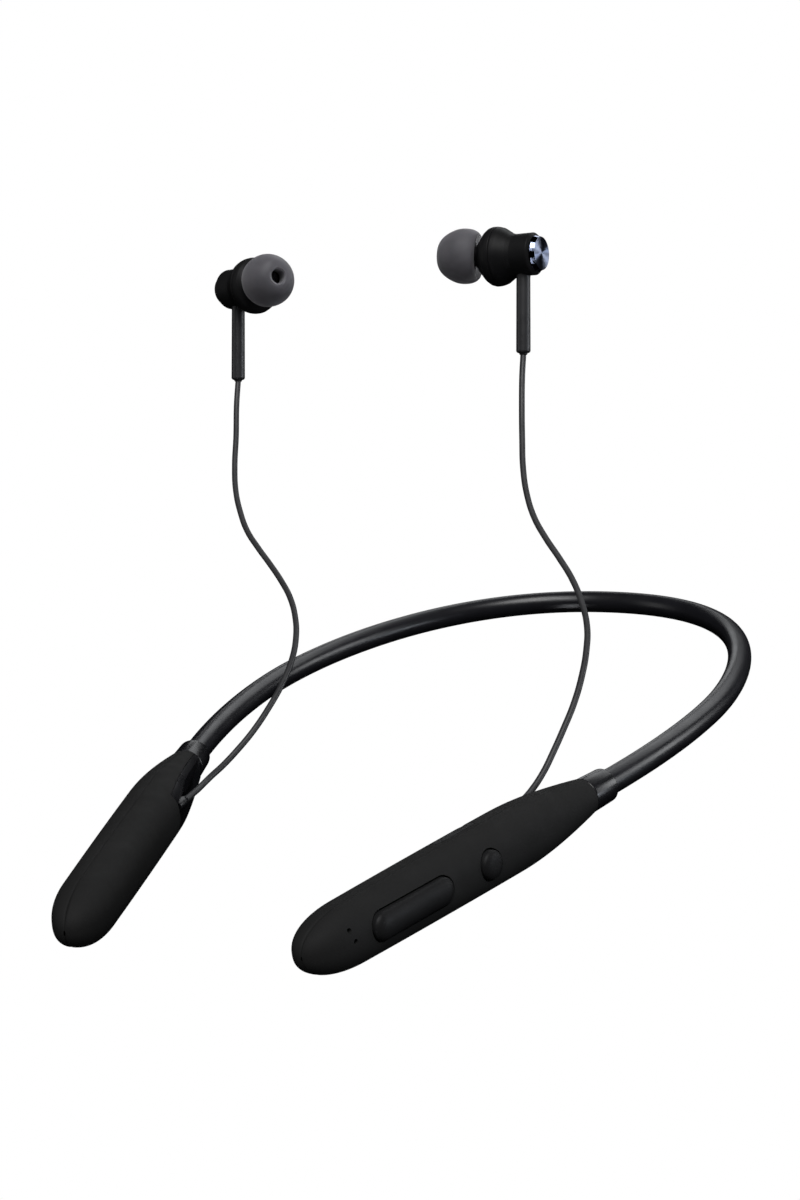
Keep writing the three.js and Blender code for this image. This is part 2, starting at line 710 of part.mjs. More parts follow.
function buildCord(side) {
  const route = CORD_ROUTES[side].map((point) => new THREE.Vector3(...point));
  const curve = new THREE.CatmullRomCurve3(route, false, 'centripetal');
  return node(`${side}_cord`, sweep(curve, CORD_RADIUS, 8, 36), 'cable');
}

const neckband = new THREE.Group();
neckband.add(buildBand());
neckband.add(buildHousing('left', true));
neckband.add(buildHousing('right', false));
neckband.add(buildEarbud('left'));
neckband.add(buildEarbud('right'));
neckband.add(buildCord('left'));
neckband.add(buildCord('right'));

export default neckband;
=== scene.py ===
"""The looks of the neckband earphones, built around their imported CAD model.

Shapes are worked out in millimetres in the same local axes as the CAD's groups, and stored in
metres. A housing's x points outwards, its y back along its axis (s = -y) and its z up. An
earbud's x points from the cap to the ear and its z up the stem.
"""
import json
import math

import bmesh
import bpy
from mathutils import Matrix, Vector
from mathutils.geometry import interpolate_bezier


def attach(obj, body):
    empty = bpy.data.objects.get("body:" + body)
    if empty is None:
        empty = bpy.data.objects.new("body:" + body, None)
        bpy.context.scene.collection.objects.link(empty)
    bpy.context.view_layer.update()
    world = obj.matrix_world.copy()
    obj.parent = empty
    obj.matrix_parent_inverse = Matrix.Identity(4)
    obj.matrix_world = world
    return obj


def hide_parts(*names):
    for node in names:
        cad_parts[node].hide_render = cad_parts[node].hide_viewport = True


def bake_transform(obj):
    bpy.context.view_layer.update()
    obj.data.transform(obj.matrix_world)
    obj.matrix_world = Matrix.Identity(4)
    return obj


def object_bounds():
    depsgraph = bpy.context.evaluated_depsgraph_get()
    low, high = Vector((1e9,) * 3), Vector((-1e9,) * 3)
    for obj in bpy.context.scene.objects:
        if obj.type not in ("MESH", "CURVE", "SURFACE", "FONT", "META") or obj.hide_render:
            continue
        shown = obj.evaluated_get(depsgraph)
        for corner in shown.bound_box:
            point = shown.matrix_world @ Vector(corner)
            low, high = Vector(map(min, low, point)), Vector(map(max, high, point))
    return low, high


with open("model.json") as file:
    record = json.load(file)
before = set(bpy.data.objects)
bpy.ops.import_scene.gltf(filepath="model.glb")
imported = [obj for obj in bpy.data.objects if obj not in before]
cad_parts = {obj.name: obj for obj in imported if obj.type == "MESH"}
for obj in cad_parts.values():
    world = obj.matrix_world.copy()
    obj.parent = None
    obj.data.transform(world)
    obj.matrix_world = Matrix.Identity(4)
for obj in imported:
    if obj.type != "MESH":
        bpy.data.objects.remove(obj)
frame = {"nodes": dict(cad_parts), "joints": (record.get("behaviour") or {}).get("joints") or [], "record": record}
cad_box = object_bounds()

MM = 0.001
SIDES = ("left", "right")
JOINTS = {joint["name"]: joint for joint in frame["joints"]}
MOUNTS = {mount["name"]: mount for mount in frame["record"]["mounts"]}

# Driving dimensions, in millimetres and radians, mostly those of the CAD model. First the band
TUBE_RADIUS = 2.6
BAND_HALF_WIDTH = 52.5
NAPE_FLATNESS = 40.2
SHOULDER_REACH = 25.8
SHOULDER_Y = -75.3
ARM_END = Vector((45.7, -122.6))
ARM_REACH_SHOULDER = 17.3
ARM_REACH_END = 14.3
TOE_IN = math.radians(15.3)
DROOP_SLOPE = 0.163
DROOP_CURVE = 0.00029
WIRE_RADIUS = 0.55
WIRE_OFFSET = 0.85
NAPE_POINTS = 72
ARM_POINTS = 32

# Housings
HOUSING_HEIGHT = 12.5
HOUSING_WIDTH = 11.8
HOUSING_REAR = 5.0
SHOULDER_S = 30.0
SHOULDER_POWER = 0.95       # how soon the shoulder swells
TIP_START_S = 73.0
HOUSING_LENGTH = 86.9
NOSE_END_S = HOUSING_LENGTH - 0.004
REAR_RADIUS = 3.75
TAPER = 0.3                 # lost from the radius between shoulder and nose
SECTION_POWER = 2.35        # 2 is an ellipse, and more is squarer
SQUARING_RUN = 20.0         # from the round rear to the full section
NOSE_POWER = 2.3
LEAST_RADIUS = 0.01
WALL = 1.2
INNER_END_S = 85.4          # where the hollow ends
SECTION_SIDES = 96
REAR_STEPS = 24
MIDDLE_STEPS = 20
NOSE_STEPS = 30

# The parting line between the two shells, and the surface that rolls in towards it
PARTING_X = 0.6
PARTING_GAP = 0.04
OUTER_SHELL_LEAST = 0.15    # the narrowest rim that the outer shell keeps at the nose
ROLL_WIDTH = 0.4
ROLL_DEPTH = 0.06
NOSE_ROLL_DEPTH = 0.3
NOSE_ROLL_START = 4.0       # past the nose's start
NOSE_ROLL_RUN = 6.0
ROLL_LIMIT = 0.4            # as a share of the section's half height
ARC_STEPS = 60
EVEN_SHARE = 0.6            # the rest of the spacing crowds the points at an arc's ends

# Collars, outlet plates and the cords' outlets
COLLAR_START_S = -2.2
COLLAR_RADIUS = 3.45
COLLAR_END_S = HOUSING_REAR - 0.06
COLLAR_INSET = 0.1          # how much thinner the collar's end is than the housing's rear
COLLAR_ROUNDING = 0.45
TUBE_GAP = 0.08
TUBE_SEAT_S = 0.2
SPIGOT_END_S = 11.0
SPIGOT_RADIUS = 2.2
SPIGOT_BORE = 1.8
PLATE_END_S = 31.4
PLATE_THICKNESS = 1.0
PLATE_DEPTH_REAR = 3.15
PLATE_DEPTH_FRONT = 5.45
PLATE_GAP = 0.1
PLATE_START_GAP = 0.1
PLATE_END_GAP = 0.12
OUTLET = Vector((-4.95, -27.2, 1.1))
OUTLET_TILT = math.radians(11)
OUTLET_RADIUS = 1.4
GROMMET_RADIUS = 1.3
GROMMET_FOOT = -2.2
GROMMET_TOP = 1.7

# Keys, pinholes and the port
ROCKER_S = 62.6
ROCKER_Z = 0.5
ROCKER_LENGTH = 21.6
ROCKER_WIDTH = 5.2
ROCKER_PROUD = 1.1
CROWN = 1.35
CROWN_INSET = 2.55
BUTTON_S = 40.7
BUTTON_Z = 0.4
BUTTON_RADIUS = 2.75
BUTTON_POST_RADIUS = 0.9
KEY_GAP = 0.34
KEY_FOOT_X = 4.4
KEY_FLANGE = 0.4            # from a key's foot to its flange
KEY_PIVOT_X = 4.7
KEY_HOLE_START = 2.0
KEY_HOLE_END = 20.0
MIC_HOLE = (78.6, 2.6)
LED_HOLE = (77.9, 0.4)
PIN_HOLE_RADIUS = 0.45
PORT_X = -2.6
PORT_S = 42.2
PORT_ROOM_HALF_WIDTH = 1.8
PORT_ROOM_HALF_LENGTH = 4.7
FLAP_START = 36.4
FLAP_END = 47.6
FLAP_WIDTH = 4.6
FLAP_THICKNESS = 1.0
FLAP_SINK = 0.55            # about the fall of the housing's curved top at the flap
FLAP_CORNER = 1.2
FLAP_GAP = 0.12
SCALLOP = Vector((PORT_X - 0.9, -FLAP_START - 1.0, 7.1))    # for a thumbnail, in the flap
ABOVE_Z = 9.0               # clear above the housing

# Earbuds
BULGE_X = 6.3
BUD_RADIUS = 6.52
BUD_ROUNDING = 0.22
SEAM_BORE = 5.4
BACK_EDGE_X = 5.56          # the seam between the two halves of a bud
FRONT_EDGE_X = 5.6
CYLINDER_BORE = 3.5
CAP_FACE_X = -4.5
CAP_SEAT_X = -3.3
CAP_BAND = 0.22             # the straight band behind the cap's chamfer
CAP_RADIUS = 3.95
CAP_FACE_RADIUS = 3.6
STEM_BOTTOM = -21.5
STEM_NECK = 0.45            # the neck that the cord leaves the stem by
NOZZLE_TURN = math.radians(-15)
NOZZLE_RISE = math.radians(3)
NOZZLE_START = BULGE_X + 0.5
NOZZLE_RADIUS = 2.3
NOZZLE_BARB = 2.7
NOZZLE_BORE = 1.5
TIP_FRONT = 13.0
TIP_SLEEVE = 3.0
TIP_SLEEVE_WALL = 0.75
TIP_BORE = 1.65
CORD_RADIUS = 0.65

# Meshes
WELD = 0.004                # points closer than this become one
CORNER_SHARE = 0.48         # the most of an edge that one rounded corner takes
SHARP_ANGLE = 32            # degrees, from which an edge isn't smoothed over
CAP_SHARP_ANGLE = 24
KEY_END_STEPS = 20
CROWN_STEPS = 16
# How a lathe's along, across and up become x, y and z
AXIS_ORDER = {"x": (0, 1, 2), "y": (1, 0, 2), "z": (1, 2, 0)}

# The cords' routes, in metres: the same points as the CAD model's tubes
CORD_ROUTES = {
    "left": [
        (0.0339, -0.1451, -0.0295), (0.0340, -0.1422, -0.0287), (0.0343, -0.1389, -0.0276),
        (0.0352, -0.1354, -0.0262), (0.0361, -0.1323, -0.0242), (0.0370, -0.1291, -0.0213),
        (0.0376, -0.1258, -0.0179), (0.0381, -0.1219, -0.0139), (0.0385, -0.1174, -0.0092),
        (0.0381, -0.1122, -0.0041), (0.0371, -0.1075, 0.0004), (0.0354, -0.1030, 0.0047),
        (0.0324, -0.0987, 0.0093), (0.0289, -0.0953, 0.0136), (0.0249, -0.0924, 0.0175),
        (0.0207, -0.0897, 0.0214), (0.0168, -0.0867, 0.0255), (0.0135, -0.0830, 0.0303),
        (0.0108, -0.0787, 0.0356), (0.0086, -0.0741, 0.0415), (0.0066, -0.0697, 0.0480),
        (0.0054, -0.0668, 0.0549), (0.0048, -0.0648, 0.0598),
    ],
    "right": [
        (-0.0339, -0.1451, -0.0295), (-0.0341, -0.1424, -0.0289), (-0.0343, -0.1395, -0.0282),
        (-0.0346, -0.1365, -0.0274), (-0.0346, -0.1334, -0.0263), (-0.0339, -0.1300, -0.0246),
        (-0.0327, -0.1262, -0.0219), (-0.0314, -0.1218, -0.0184), (-0.0305, -0.1164, -0.0139),
        (-0.0304, -0.1104, -0.0092), (-0.0311, -0.1052, -0.0050), (-0.0328, -0.1002, -0.0010),
        (-0.0354, -0.0956, 0.0029), (-0.0388, -0.0916, 0.0068), (-0.0429, -0.0883, 0.0103),
        (-0.0472, -0.0855, 0.0136), (-0.0516, -0.0829, 0.0169), (-0.0559, -0.0801, 0.0204),
        (-0.0596, -0.0767, 0.0245), (-0.0628, -0.0730, 0.0290), (-0.0657, -0.0683, 0.0345),
        (-0.0683, -0.0630, 0.0412), (-0.0710, -0.0579, 0.0484), (-0.0723, -0.0548, 0.0539),
    ],
}


# Camera, stage and light, in metres

CAMERA_AZIMUTH = math.radians(25.9)
CAMERA_ELEVATION = math.radians(4.9)
CAMERA_DISTANCE = 0.5911
CAMERA_TARGET = Vector((-0.0271, -0.0608, 0.0044))
CAMERA_LENS = 78.1
SENSOR_WIDTH = 36
FLOOR_RADIUS = 12.0
FLOOR_DROP = 0.06
LIGHT_DISTANCE = 1.2
FILL_STRENGTH = 0.1
WHITE = (1, 1, 1)
COOL = (0.96, 0.98, 1.0)
COOLER = (0.93, 0.95, 1.0)
BLUISH = (0.85, 0.91, 1.0)

# Azimuth and elevation in degrees, width and height, radiance, tint. "cap rim low" stands
# below the floor, which only reflections see through.
SOFTBOXES = [
    ("left", -60, 10, (0.35, 0.9), 1.0, WHITE),
    ("behind high", 178, 42, (0.9, 0.4), 1.7, COOL),
    ("behind right", 129, 18, (0.42, 0.4), 4.2, COOL),
    ("behind left", 208, 20, (0.3, 0.25), 1.3, COOL),
    ("cap face", 108, 2, (0.36, 0.2), 9.0, BLUISH),
    ("cap rim", 5, 38, (0.1, 0.85), 4.8, COOLER),
    ("cap rim low", 5, -46, (0.12, 0.9), 9.0, COOLER),
]


def direction(azimuth, elevation):
    """The unit vector towards a place seen at that azimuth and elevation."""
    flat = math.cos(elevation)
    return Vector((math.sin(azimuth) * flat, -math.cos(azimuth) * flat, math.sin(elevation)))


def add_camera():
    """The view that the photograph was taken from."""
    data = bpy.data.cameras.new("camera")
    data.lens = CAMERA_LENS
    data.sensor_width = SENSOR_WIDTH
    camera = bpy.data.objects.new("camera", data)
    bpy.context.scene.collection.objects.link(camera)
    back = direction(CAMERA_AZIMUTH, CAMERA_ELEVATION)
    camera.location = CAMERA_TARGET + CAMERA_DISTANCE * back
    camera.rotation_euler = (math.pi / 2 - CAMERA_ELEVATION, 0, CAMERA_AZIMUTH)
    bpy.context.scene.camera = camera


def add_light(name, kind, azimuth, elevation, power, colour):
    """A lamp that shines at the middle of the part, and that no view sees itself."""
    data = bpy.data.lights.new(name, kind)
    data.energy = power
    data.color = colour
    light = bpy.data.objects.new(name, data)
    bpy.context.scene.collection.objects.link(light)
    toward = direction(math.radians(azimuth), math.radians(elevation))
    centre = (Vector(cad_box[0]) + Vector(cad_box[1])) / 2
    light.location = centre + LIGHT_DISTANCE * toward
    light.rotation_mode = "QUATERNION"
    light.rotation_quaternion = toward.to_track_quat("Z", "Y")
    light.visible_camera = False
    return data


def add_softbox(name, azimuth, elevation, size, brightness, colour):
    """A glowing rectangle; brightness is its radiance."""
    power = brightness * math.pi * size[0] * size[1]
    data = add_light(name, "AREA", azimuth, elevation, power, colour)
    data.shape = "RECTANGLE"
    data.size, data.size_y = size


def add_sky(name, azimuth, elevation, power, spread):
    """Broad light from one part of the sky, `spread` degrees across."""
    data = add_light(name, "SUN", azimuth, elevation, power, WHITE)
    data.angle = math.radians(spread)


def add_world():
    """White to the camera, a faint fill on matt surfaces, and nothing in reflections."""
    world = bpy.data.worlds.new("studio")
    bpy.context.scene.world = world
    world.use_nodes = True
    nodes, links = world.node_tree.nodes, world.node_tree.links
    nodes.clear()
    path = nodes.new("ShaderNodeLightPath")
    backdrop = nodes.new("ShaderNodeBackground")
    backdrop.inputs["Color"].default_value = (1, 1, 1, 1)
    fill = nodes.new("ShaderNodeBackground")
    fill.inputs["Color"].default_value = (1, 1, 1, 1)
    dimmer = nodes.new("ShaderNodeMath")
    dimmer.operation = "MULTIPLY_ADD"
    dimmer.inputs[1].default_value = -FILL_STRENGTH
    dimmer.inputs[2].default_value = FILL_STRENGTH
    links.new(path.outputs["Is Glossy Ray"], dimmer.inputs[0])
    links.new(dimmer.outputs[0], fill.inputs["Strength"])
    mix = nodes.new("ShaderNodeMixShader")
    output = nodes.new("ShaderNodeOutputWorld")
    links.new(path.outputs["Is Camera Ray"], mix.inputs["Fac"])
    links.new(fill.outputs[0], mix.inputs[1])
    links.new(backdrop.outputs[0], mix.inputs[2])
    links.new(mix.outputs[0], output.inputs["Surface"])


def add_floor():
    """A wide floor below the part as it hangs on the neck, which reflections don't see."""
    mesh = bpy.data.meshes.new("floor")
    builder = bmesh.new()
    bmesh.ops.create_circle(builder, cap_ends=True, radius=FLOOR_RADIUS, segments=64)
    builder.to_mesh(mesh)
    builder.free()
    floor = bpy.data.objects.new("floor", mesh)
    floor.location = (0, 0, cad_box[0][2] - FLOOR_DROP)
    floor.visible_glossy = False
    bpy.context.scene.collection.objects.link(floor)
    mesh.materials.append(floor_material())


# Node materials: sizes and heights are in metres

WAVE_SPACING = 0.314        # between the bands of Blender's wave texture at scale 1
NOISE_LOW = 0.3             # most of a noise lies between these
NOISE_HIGH = 0.7


class Finish:
    """A Principled material, with short calls for the nodes that vary its sockets."""

    def __init__(self, name, **sockets):
        self.material = bpy.data.materials.new(name)
        self.material.use_nodes = True
        self.nodes = self.material.node_tree.nodes
        self.links = self.material.node_tree.links
        self.shader = self.nodes["Principled BSDF"]
        self.position = self.nodes.new("ShaderNodeTexCoord").outputs["Object"]
        for socket, value in sockets.items():
            self.shader.inputs[socket.replace("_", " ")].default_value = value
        self.normal = None

    def noise(self, size, detail=3.0, roughness=0.5, stretch=(1, 1, 1)):
        """Noise whose features are about `size` metres across."""
        mapping = self.nodes.new("ShaderNodeMapping")
        mapping.inputs["Scale"].default_value = stretch
        self.links.new(self.position, mapping.inputs["Vector"])
        noise = self.nodes.new("ShaderNodeTexNoise")
        noise.inputs["Scale"].default_value = 1 / size
        noise.inputs["Detail"].default_value = detail
        noise.inputs["Roughness"].default_value = roughness
        self.links.new(mapping.outputs[0], noise.inputs["Vector"])
        return noise.outputs["Fac"]

    def wave(self, size, kind, axis, distortion=0.0):
        """Bands or rings about `size` metres apart."""
        wave = self.nodes.new("ShaderNodeTexWave")
        wave.wave_type = kind
        if kind == "RINGS":
            wave.rings_direction = axis
        else:
            wave.bands_direction = axis
        wave.inputs["Scale"].default_value = WAVE_SPACING / size
        wave.inputs["Distortion"].default_value = distortion
        self.links.new(self.position, wave.inputs["Vector"])
        return wave.outputs["Fac"]

    def spread(self, value, low, high, start=NOISE_LOW, end=NOISE_HIGH):
        """A value from low to high as the input goes from start to end."""
        node = self.nodes.new("ShaderNodeMapRange")
        node.clamp = True
        node.inputs["From Min"].default_value = start
        node.inputs["From Max"].default_value = end
        node.inputs["To Min"].default_value = low
        node.inputs["To Max"].default_value = high
        self.links.new(value, node.inputs["Value"])
        return node.outputs[0]

    def roughness(self, value, low, high):
        self.links.new(self.spread(value, low, high), self.shader.inputs["Roughness"])
        return self

    def colour(self, value, first, second, start=NOISE_LOW, end=NOISE_HIGH):
        ramp = self.nodes.new("ShaderNodeValToRGB")
        ramp.color_ramp.elements[0].position = start
        ramp.color_ramp.elements[0].color = (*first, 1)
        ramp.color_ramp.elements[1].position = end
        ramp.color_ramp.elements[1].color = (*second, 1)
        self.links.new(value, ramp.inputs["Fac"])
        self.links.new(ramp.outputs["Color"], self.shader.inputs["Base Color"])
        return self

    def bump(self, value, height):
        """Raises the surface by up to `height` metres; calls add up."""
        node = self.nodes.new("ShaderNodeBump")
        node.inputs["Strength"].default_value = 1.0
        node.inputs["Distance"].default_value = height
        self.links.new(value, node.inputs["Height"])
        if self.normal is not None:
            self.links.new(self.normal, node.inputs["Normal"])
        self.normal = node.outputs["Normal"]
        self.links.new(self.normal, self.shader.inputs["Normal"])
        return self


def soft_touch(name, colour, lighter, roughness):
    """Rubberised paint: very fine orange peel, and slightly uneven gloss."""
    unevenness = 0.05
    finish = Finish(name, Specular_IOR_Level=0.12)
    finish.colour(finish.noise(0.009, 2), colour, lighter)
    finish.roughness(finish.noise(0.004, 3), roughness - unevenness, roughness + unevenness)
    finish.bump(finish.noise(0.00035, 2), 0.000012)
    finish.bump(finish.noise(0.00012, 1), 0.000006)
    return finish.material


def band_skin():
    """Satin silicone skin, faintly wavy and unevenly glossy from handling."""
    finish = Finish("band_skin", Specular_IOR_Level=0.5)
    finish.colour(finish.noise(0.012, 3), (0.0075, 0.0075, 0.0095), (0.01, 0.01, 0.0125))
    finish.roughness(finish.noise(0.006, 2), 0.29, 0.34)
    finish.bump(finish.noise(0.003, 1), 0.000003)
    return finish.material


def gloss_black():
    """Glossy moulding, with a faint waviness and patches a little duller than others."""
    finish = Finish("collar_gloss", Specular_IOR_Level=0.5)
    finish.colour(finish.noise(0.01, 2), (0.005, 0.005, 0.006), (0.008, 0.008, 0.0095))
    finish.roughness(finish.noise(0.005, 2), 0.24, 0.3)
    finish.bump(finish.noise(0.004, 1), 0.0000015)
    return finish.material


def silicone():
    """Ear tip silicone: soft, letting light through its thin skirt, with a dusty bloom."""
    finish = Finish(
        "ear_tip", Specular_IOR_Level=0.3, Subsurface_Weight=1.0, Subsurface_Scale=0.006,
        Sheen_Weight=0.2, Sheen_Roughness=0.5)
    finish.shader.inputs["Subsurface Radius"].default_value = (1.0, 1.0, 1.0)
    finish.colour(finish.noise(0.005, 3), (0.078, 0.075, 0.084), (0.094, 0.091, 0.102))
    finish.roughness(finish.noise(0.002, 3), 0.5, 0.62)
    finish.bump(finish.noise(0.0003, 2), 0.000008)
    return finish.material


def stem_plastic():
    """Matt rubbery plastic with a fine grain."""
    finish = Finish("stem", Specular_IOR_Level=0.5)
    finish.colour(finish.noise(0.006, 2), (0.022, 0.022, 0.024), (0.03, 0.03, 0.032))
    finish.roughness(finish.noise(0.002, 3), 0.36, 0.46)
    finish.bump(finish.noise(0.0003, 2), 0.000008)
    return finish.material


def cord_jacket():
    """Matt elastomer with a fine, rough grain."""
    finish = Finish("cord_jacket", Specular_IOR_Level=0.45)
    finish.colour(finish.noise(0.008, 2), (0.022, 0.022, 0.024), (0.032, 0.032, 0.034))
    finish.roughness(finish.noise(0.0012, 3), 0.4, 0.52)
    finish.bump(finish.noise(0.0004, 3, 0.6), 0.000012)
    return finish.material


def spun_metal():
    """Fine rings spun into the face, which draw light into a bow, in a polished chamfer."""
    spun, polished = 0.38, 0.12
    spun_end = CAP_FACE_X * MM + 0.00003
    polish_start = CAP_FACE_X * MM + 0.00008
    finish = Finish("cap_metal", Metallic=1.0, Anisotropic=1.0, Anisotropic_Rotation=0.25)
    finish.colour(finish.noise(0.002, 3), (0.26, 0.3, 0.42), (0.32, 0.36, 0.48))
    split = finish.nodes.new("ShaderNodeSeparateXYZ")
    finish.links.new(finish.position, split.inputs[0])
    roughness = finish.spread(split.outputs["X"], spun, polished, spun_end, polish_start)
    finish.links.new(roughness, finish.shader.inputs["Roughness"])
    finish.bump(finish.wave(0.00016, "RINGS", "X", 0.4), 0.000002)
    tangent = finish.nodes.new("ShaderNodeTangent")
    tangent.direction_type = "RADIAL"
    tangent.axis = "X"
    finish.links.new(tangent.outputs[0], finish.shader.inputs["Tangent"])
    return finish.material


def woven_mesh():
    """Fine steel cloth, as crossed bands."""
    finish = Finish("mesh", Metallic=1.0)
    finish.colour(finish.noise(0.0004, 2), (0.12, 0.12, 0.13), (0.3, 0.3, 0.31))
    finish.roughness(finish.noise(0.0003, 2), 0.35, 0.5)
    for across in ("Y", "Z"):
        finish.bump(finish.wave(0.00014, "BANDS", across), 0.00004)
    return finish.material


def plated_steel():
    """Nickel-plated steel, brushed across its length."""
    finish = Finish("port_metal", Metallic=1.0)
    finish.colour(finish.noise(0.002, 3), (0.42, 0.42, 0.43), (0.6, 0.6, 0.62))
    finish.roughness(finish.noise(0.0006, 4, 0.6, (1, 8, 1)), 0.24, 0.4)
    finish.bump(finish.noise(0.0003, 3, 0.6, (1, 10, 1)), 0.000006)
    return finish.material


def spring_steel():
    """Drawn wire, slightly warm in colour."""
    finish = Finish("spring_steel", Metallic=1.0)
    finish.colour(finish.noise(0.004, 3), (0.42, 0.41, 0.39), (0.6, 0.59, 0.56))
    finish.roughness(finish.noise(0.0008, 3), 0.22, 0.34)
    finish.bump(finish.noise(0.0002, 2), 0.000004)
    return finish.material


def solder_mask():
    """Green laminate, with copper areas showing through the mask."""
    finish = Finish("board", Specular_IOR_Level=0.5, Coat_Weight=0.3, Coat_Roughness=0.2)
    finish.colour(finish.noise(0.0018, 1), (0.008, 0.05, 0.02), (0.02, 0.11, 0.045), 0.48, 0.52)
    finish.roughness(finish.noise(0.001, 3), 0.3, 0.42)
    finish.bump(finish.noise(0.0018, 1), 0.00002)
    return finish.material


def chip_package():
    """Matt moulding compound."""
    finish = Finish("chip", Specular_IOR_Level=0.4)
    finish.colour(finish.noise(0.001, 3), (0.01, 0.01, 0.011), (0.018, 0.018, 0.02))
    finish.roughness(finish.noise(0.0004, 3), 0.45, 0.6)
    finish.bump(finish.noise(0.0002, 3), 0.00001)
    return finish.material


def foil_pouch():
    """The cell's aluminium foil, soft and dented."""
    finish = Finish("cell", Metallic=0.85)
    finish.colour(finish.noise(0.006, 3), (0.4, 0.43, 0.47), (0.52, 0.55, 0.6))
    finish.roughness(finish.noise(0.003, 4, 0.6), 0.25, 0.42)
    finish.bump(finish.noise(0.004, 3), 0.00012)
    return finish.material


def light_pipe():
    """Dark smoked plastic that lets a little light through."""
    finish = Finish("light_pipe", Transmission_Weight=0.3, IOR=1.49)
    finish.colour(finish.noise(0.001, 2), (0.02, 0.02, 0.022), (0.03, 0.03, 0.034))
    finish.roughness(finish.noise(0.0005, 2), 0.15, 0.3)
    finish.bump(finish.noise(0.0003, 2), 0.000005)
    return finish.material


def floor_material():
    """White paper to the camera, but dim as a light on the part from below."""
    finish = Finish("floor", Specular_IOR_Level=0.0)
    finish.colour(finish.noise(0.3, 2), (0.22, 0.22, 0.22), (0.25, 0.25, 0.25))
    path = finish.nodes.new("ShaderNodeLightPath")
    paper = finish.nodes.new("ShaderNodeEmission")
    mix = finish.nodes.new("ShaderNodeMixShader")
    finish.links.new(path.outputs["Is Camera Ray"], mix.inputs["Fac"])
    finish.links.new(finish.shader.outputs[0], mix.inputs[1])
    finish.links.new(paper.outputs[0], mix.inputs[2])
    finish.links.new(mix.outputs[0], finish.nodes["Material Output"].inputs["Surface"])
    return finish.material


# By material slot, as named in the CAD model
MATERIALS = {
    "band_skin": band_skin(),
    "spring_steel": spring_steel(),
    "cord_jacket": cord_jacket(),
    "board": solder_mask(),
    "chip": chip_package(),
    "port_metal": plated_steel(),
    "light_pipe": light_pipe(),
    "keys": soft_touch("keys", (0.0085, 0.0085, 0.009), (0.011, 0.011, 0.0115), 0.5),
    "cell": foil_pouch(),
    "collar_gloss": gloss_black(),
    "shell": soft_touch("shell", (0.0115, 0.0115, 0.0115), (0.0135, 0.0135, 0.0135), 0.7),
    "stem": stem_plastic(),
    "earbud_shell": soft_touch("earbud_shell", (0.007, 0.007, 0.0075), (0.01, 0.01, 0.0105), 0.46),
    "cap_metal": spun_metal(),
    "mesh": woven_mesh(),
    "ear_tip": silicone(),
}


# Meshes

def new_solid(points, faces):
    """A mesh object from points in millimetres, with its faces turned outwards."""
    builder = bmesh.new()
    corners = [builder.verts.new(Vector(point) * MM) for point in points]
    for face in faces:
        builder.faces.new([corners[i] for i in face])
    bmesh.ops.remove_doubles(builder, verts=builder.verts, dist=WELD * MM)
    bmesh.ops.dissolve_degenerate(builder, edges=builder.edges, dist=WELD * MM)
    bmesh.ops.recalc_face_normals(builder, faces=builder.faces)
    mesh = bpy.data.meshes.new("solid")
    builder.to_mesh(mesh)
    builder.free()
    solid = bpy.data.objects.new("solid", mesh)
    bpy.context.scene.collection.objects.link(solid)
    return solid


def combine(solid, cutter, operation):
    """Cuts another solid out of this one, or keeps their overlap; the other one is used up."""
    modifier = solid.modifiers.new("combine", "BOOLEAN")
    modifier.object = cutter
    modifier.operation = operation
    modifier.solver = "EXACT"
    bpy.context.view_layer.update()
    evaluated = solid.evaluated_get(bpy.context.evaluated_depsgraph_get())
    result = bpy.data.meshes.new_from_object(evaluated)
    solid.modifiers.clear()
    solid.data = result
    bpy.data.objects.remove(cutter)
    return solid


def finish_piece(solid, name, slot, body, place, stands_for, hand=1, sharp=SHARP_ANGLE):
    """Names a solid, places it, gives it its finish and its body, and hides the CAD node that it stands for."""
    solid.name = name
    mesh = solid.data
    mesh.name = name
    if hand < 0:
        mesh.transform(Matrix.Scale(-1, 4, (1, 0, 0)))
        mesh.flip_normals()
    mesh.shade_smooth()
    mesh.set_sharp_from_angle(angle=math.radians(sharp))
    mesh.materials.clear()
    mesh.materials.append(MATERIALS[slot])
    solid.matrix_world = place
    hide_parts(stands_for)
    if body:
        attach(solid, body)


def loft_faces(ring_count, sides):
    """The four-sided faces between rings of points that follow each other."""
    faces = []
    for i in range(ring_count - 1):
        for j in range(sides):
            a, b = i * sides + j, i * sides + (j + 1) % sides
            faces.append((a, b, b + sides, a + sides))
    return faces


def loft(rings, capped=True):
    """A skin through closed rings that all have the same number of points."""
    sides = len(rings[0])
    points = [point for ring in rings for point in ring]
    faces = loft_faces(len(rings), sides)
    if capped:
        faces.append(tuple(range(sides)))
        faces.append(tuple(range(len(points) - sides, len(points))))
    return new_solid(points, faces)


def lathe(profile, axis, sides, closed=False):
    """Turns a profile of (along, radius) about an axis; an open one starts and ends on it."""
    rings = []
    for along, radius in profile:
        ring = []
        for j in range(sides):
            angle = 2 * math.pi * j / sides
            point = (along, radius * math.cos(angle), radius * math.sin(angle))
            ring.append([point[i] for i in AXIS_ORDER[axis]])
        rings.append(ring)
    if closed:
        rings.append(rings[0])
    return loft(rings, capped=False)


def rounded(profile, radius, steps=5, closed=False):
    """The profile with each corner turned into a small curve."""
    count = len(profile)
    result = []
    for i, corner in enumerate(profile):
        if not closed and i in (0, count - 1):
            result.append(tuple(corner))
            continue
        middle = Vector(corner)
        before = Vector(profile[i - 1]) - middle
        after = Vector(profile[(i + 1) % count]) - middle
        turn = math.pi - before.angle(after)
        room = CORNER_SHARE * min(before.length, after.length)
        reach = min(radius * math.tan(turn / 2), room)
        first = middle + before.normalized() * reach
        last = middle + after.normalized() * reach
        for k in range(steps + 1):
            t = k / steps
            point = (1 - t) ** 2 * first + 2 * t * (1 - t) * middle + t ** 2 * last
            result.append(tuple(point))
    return result


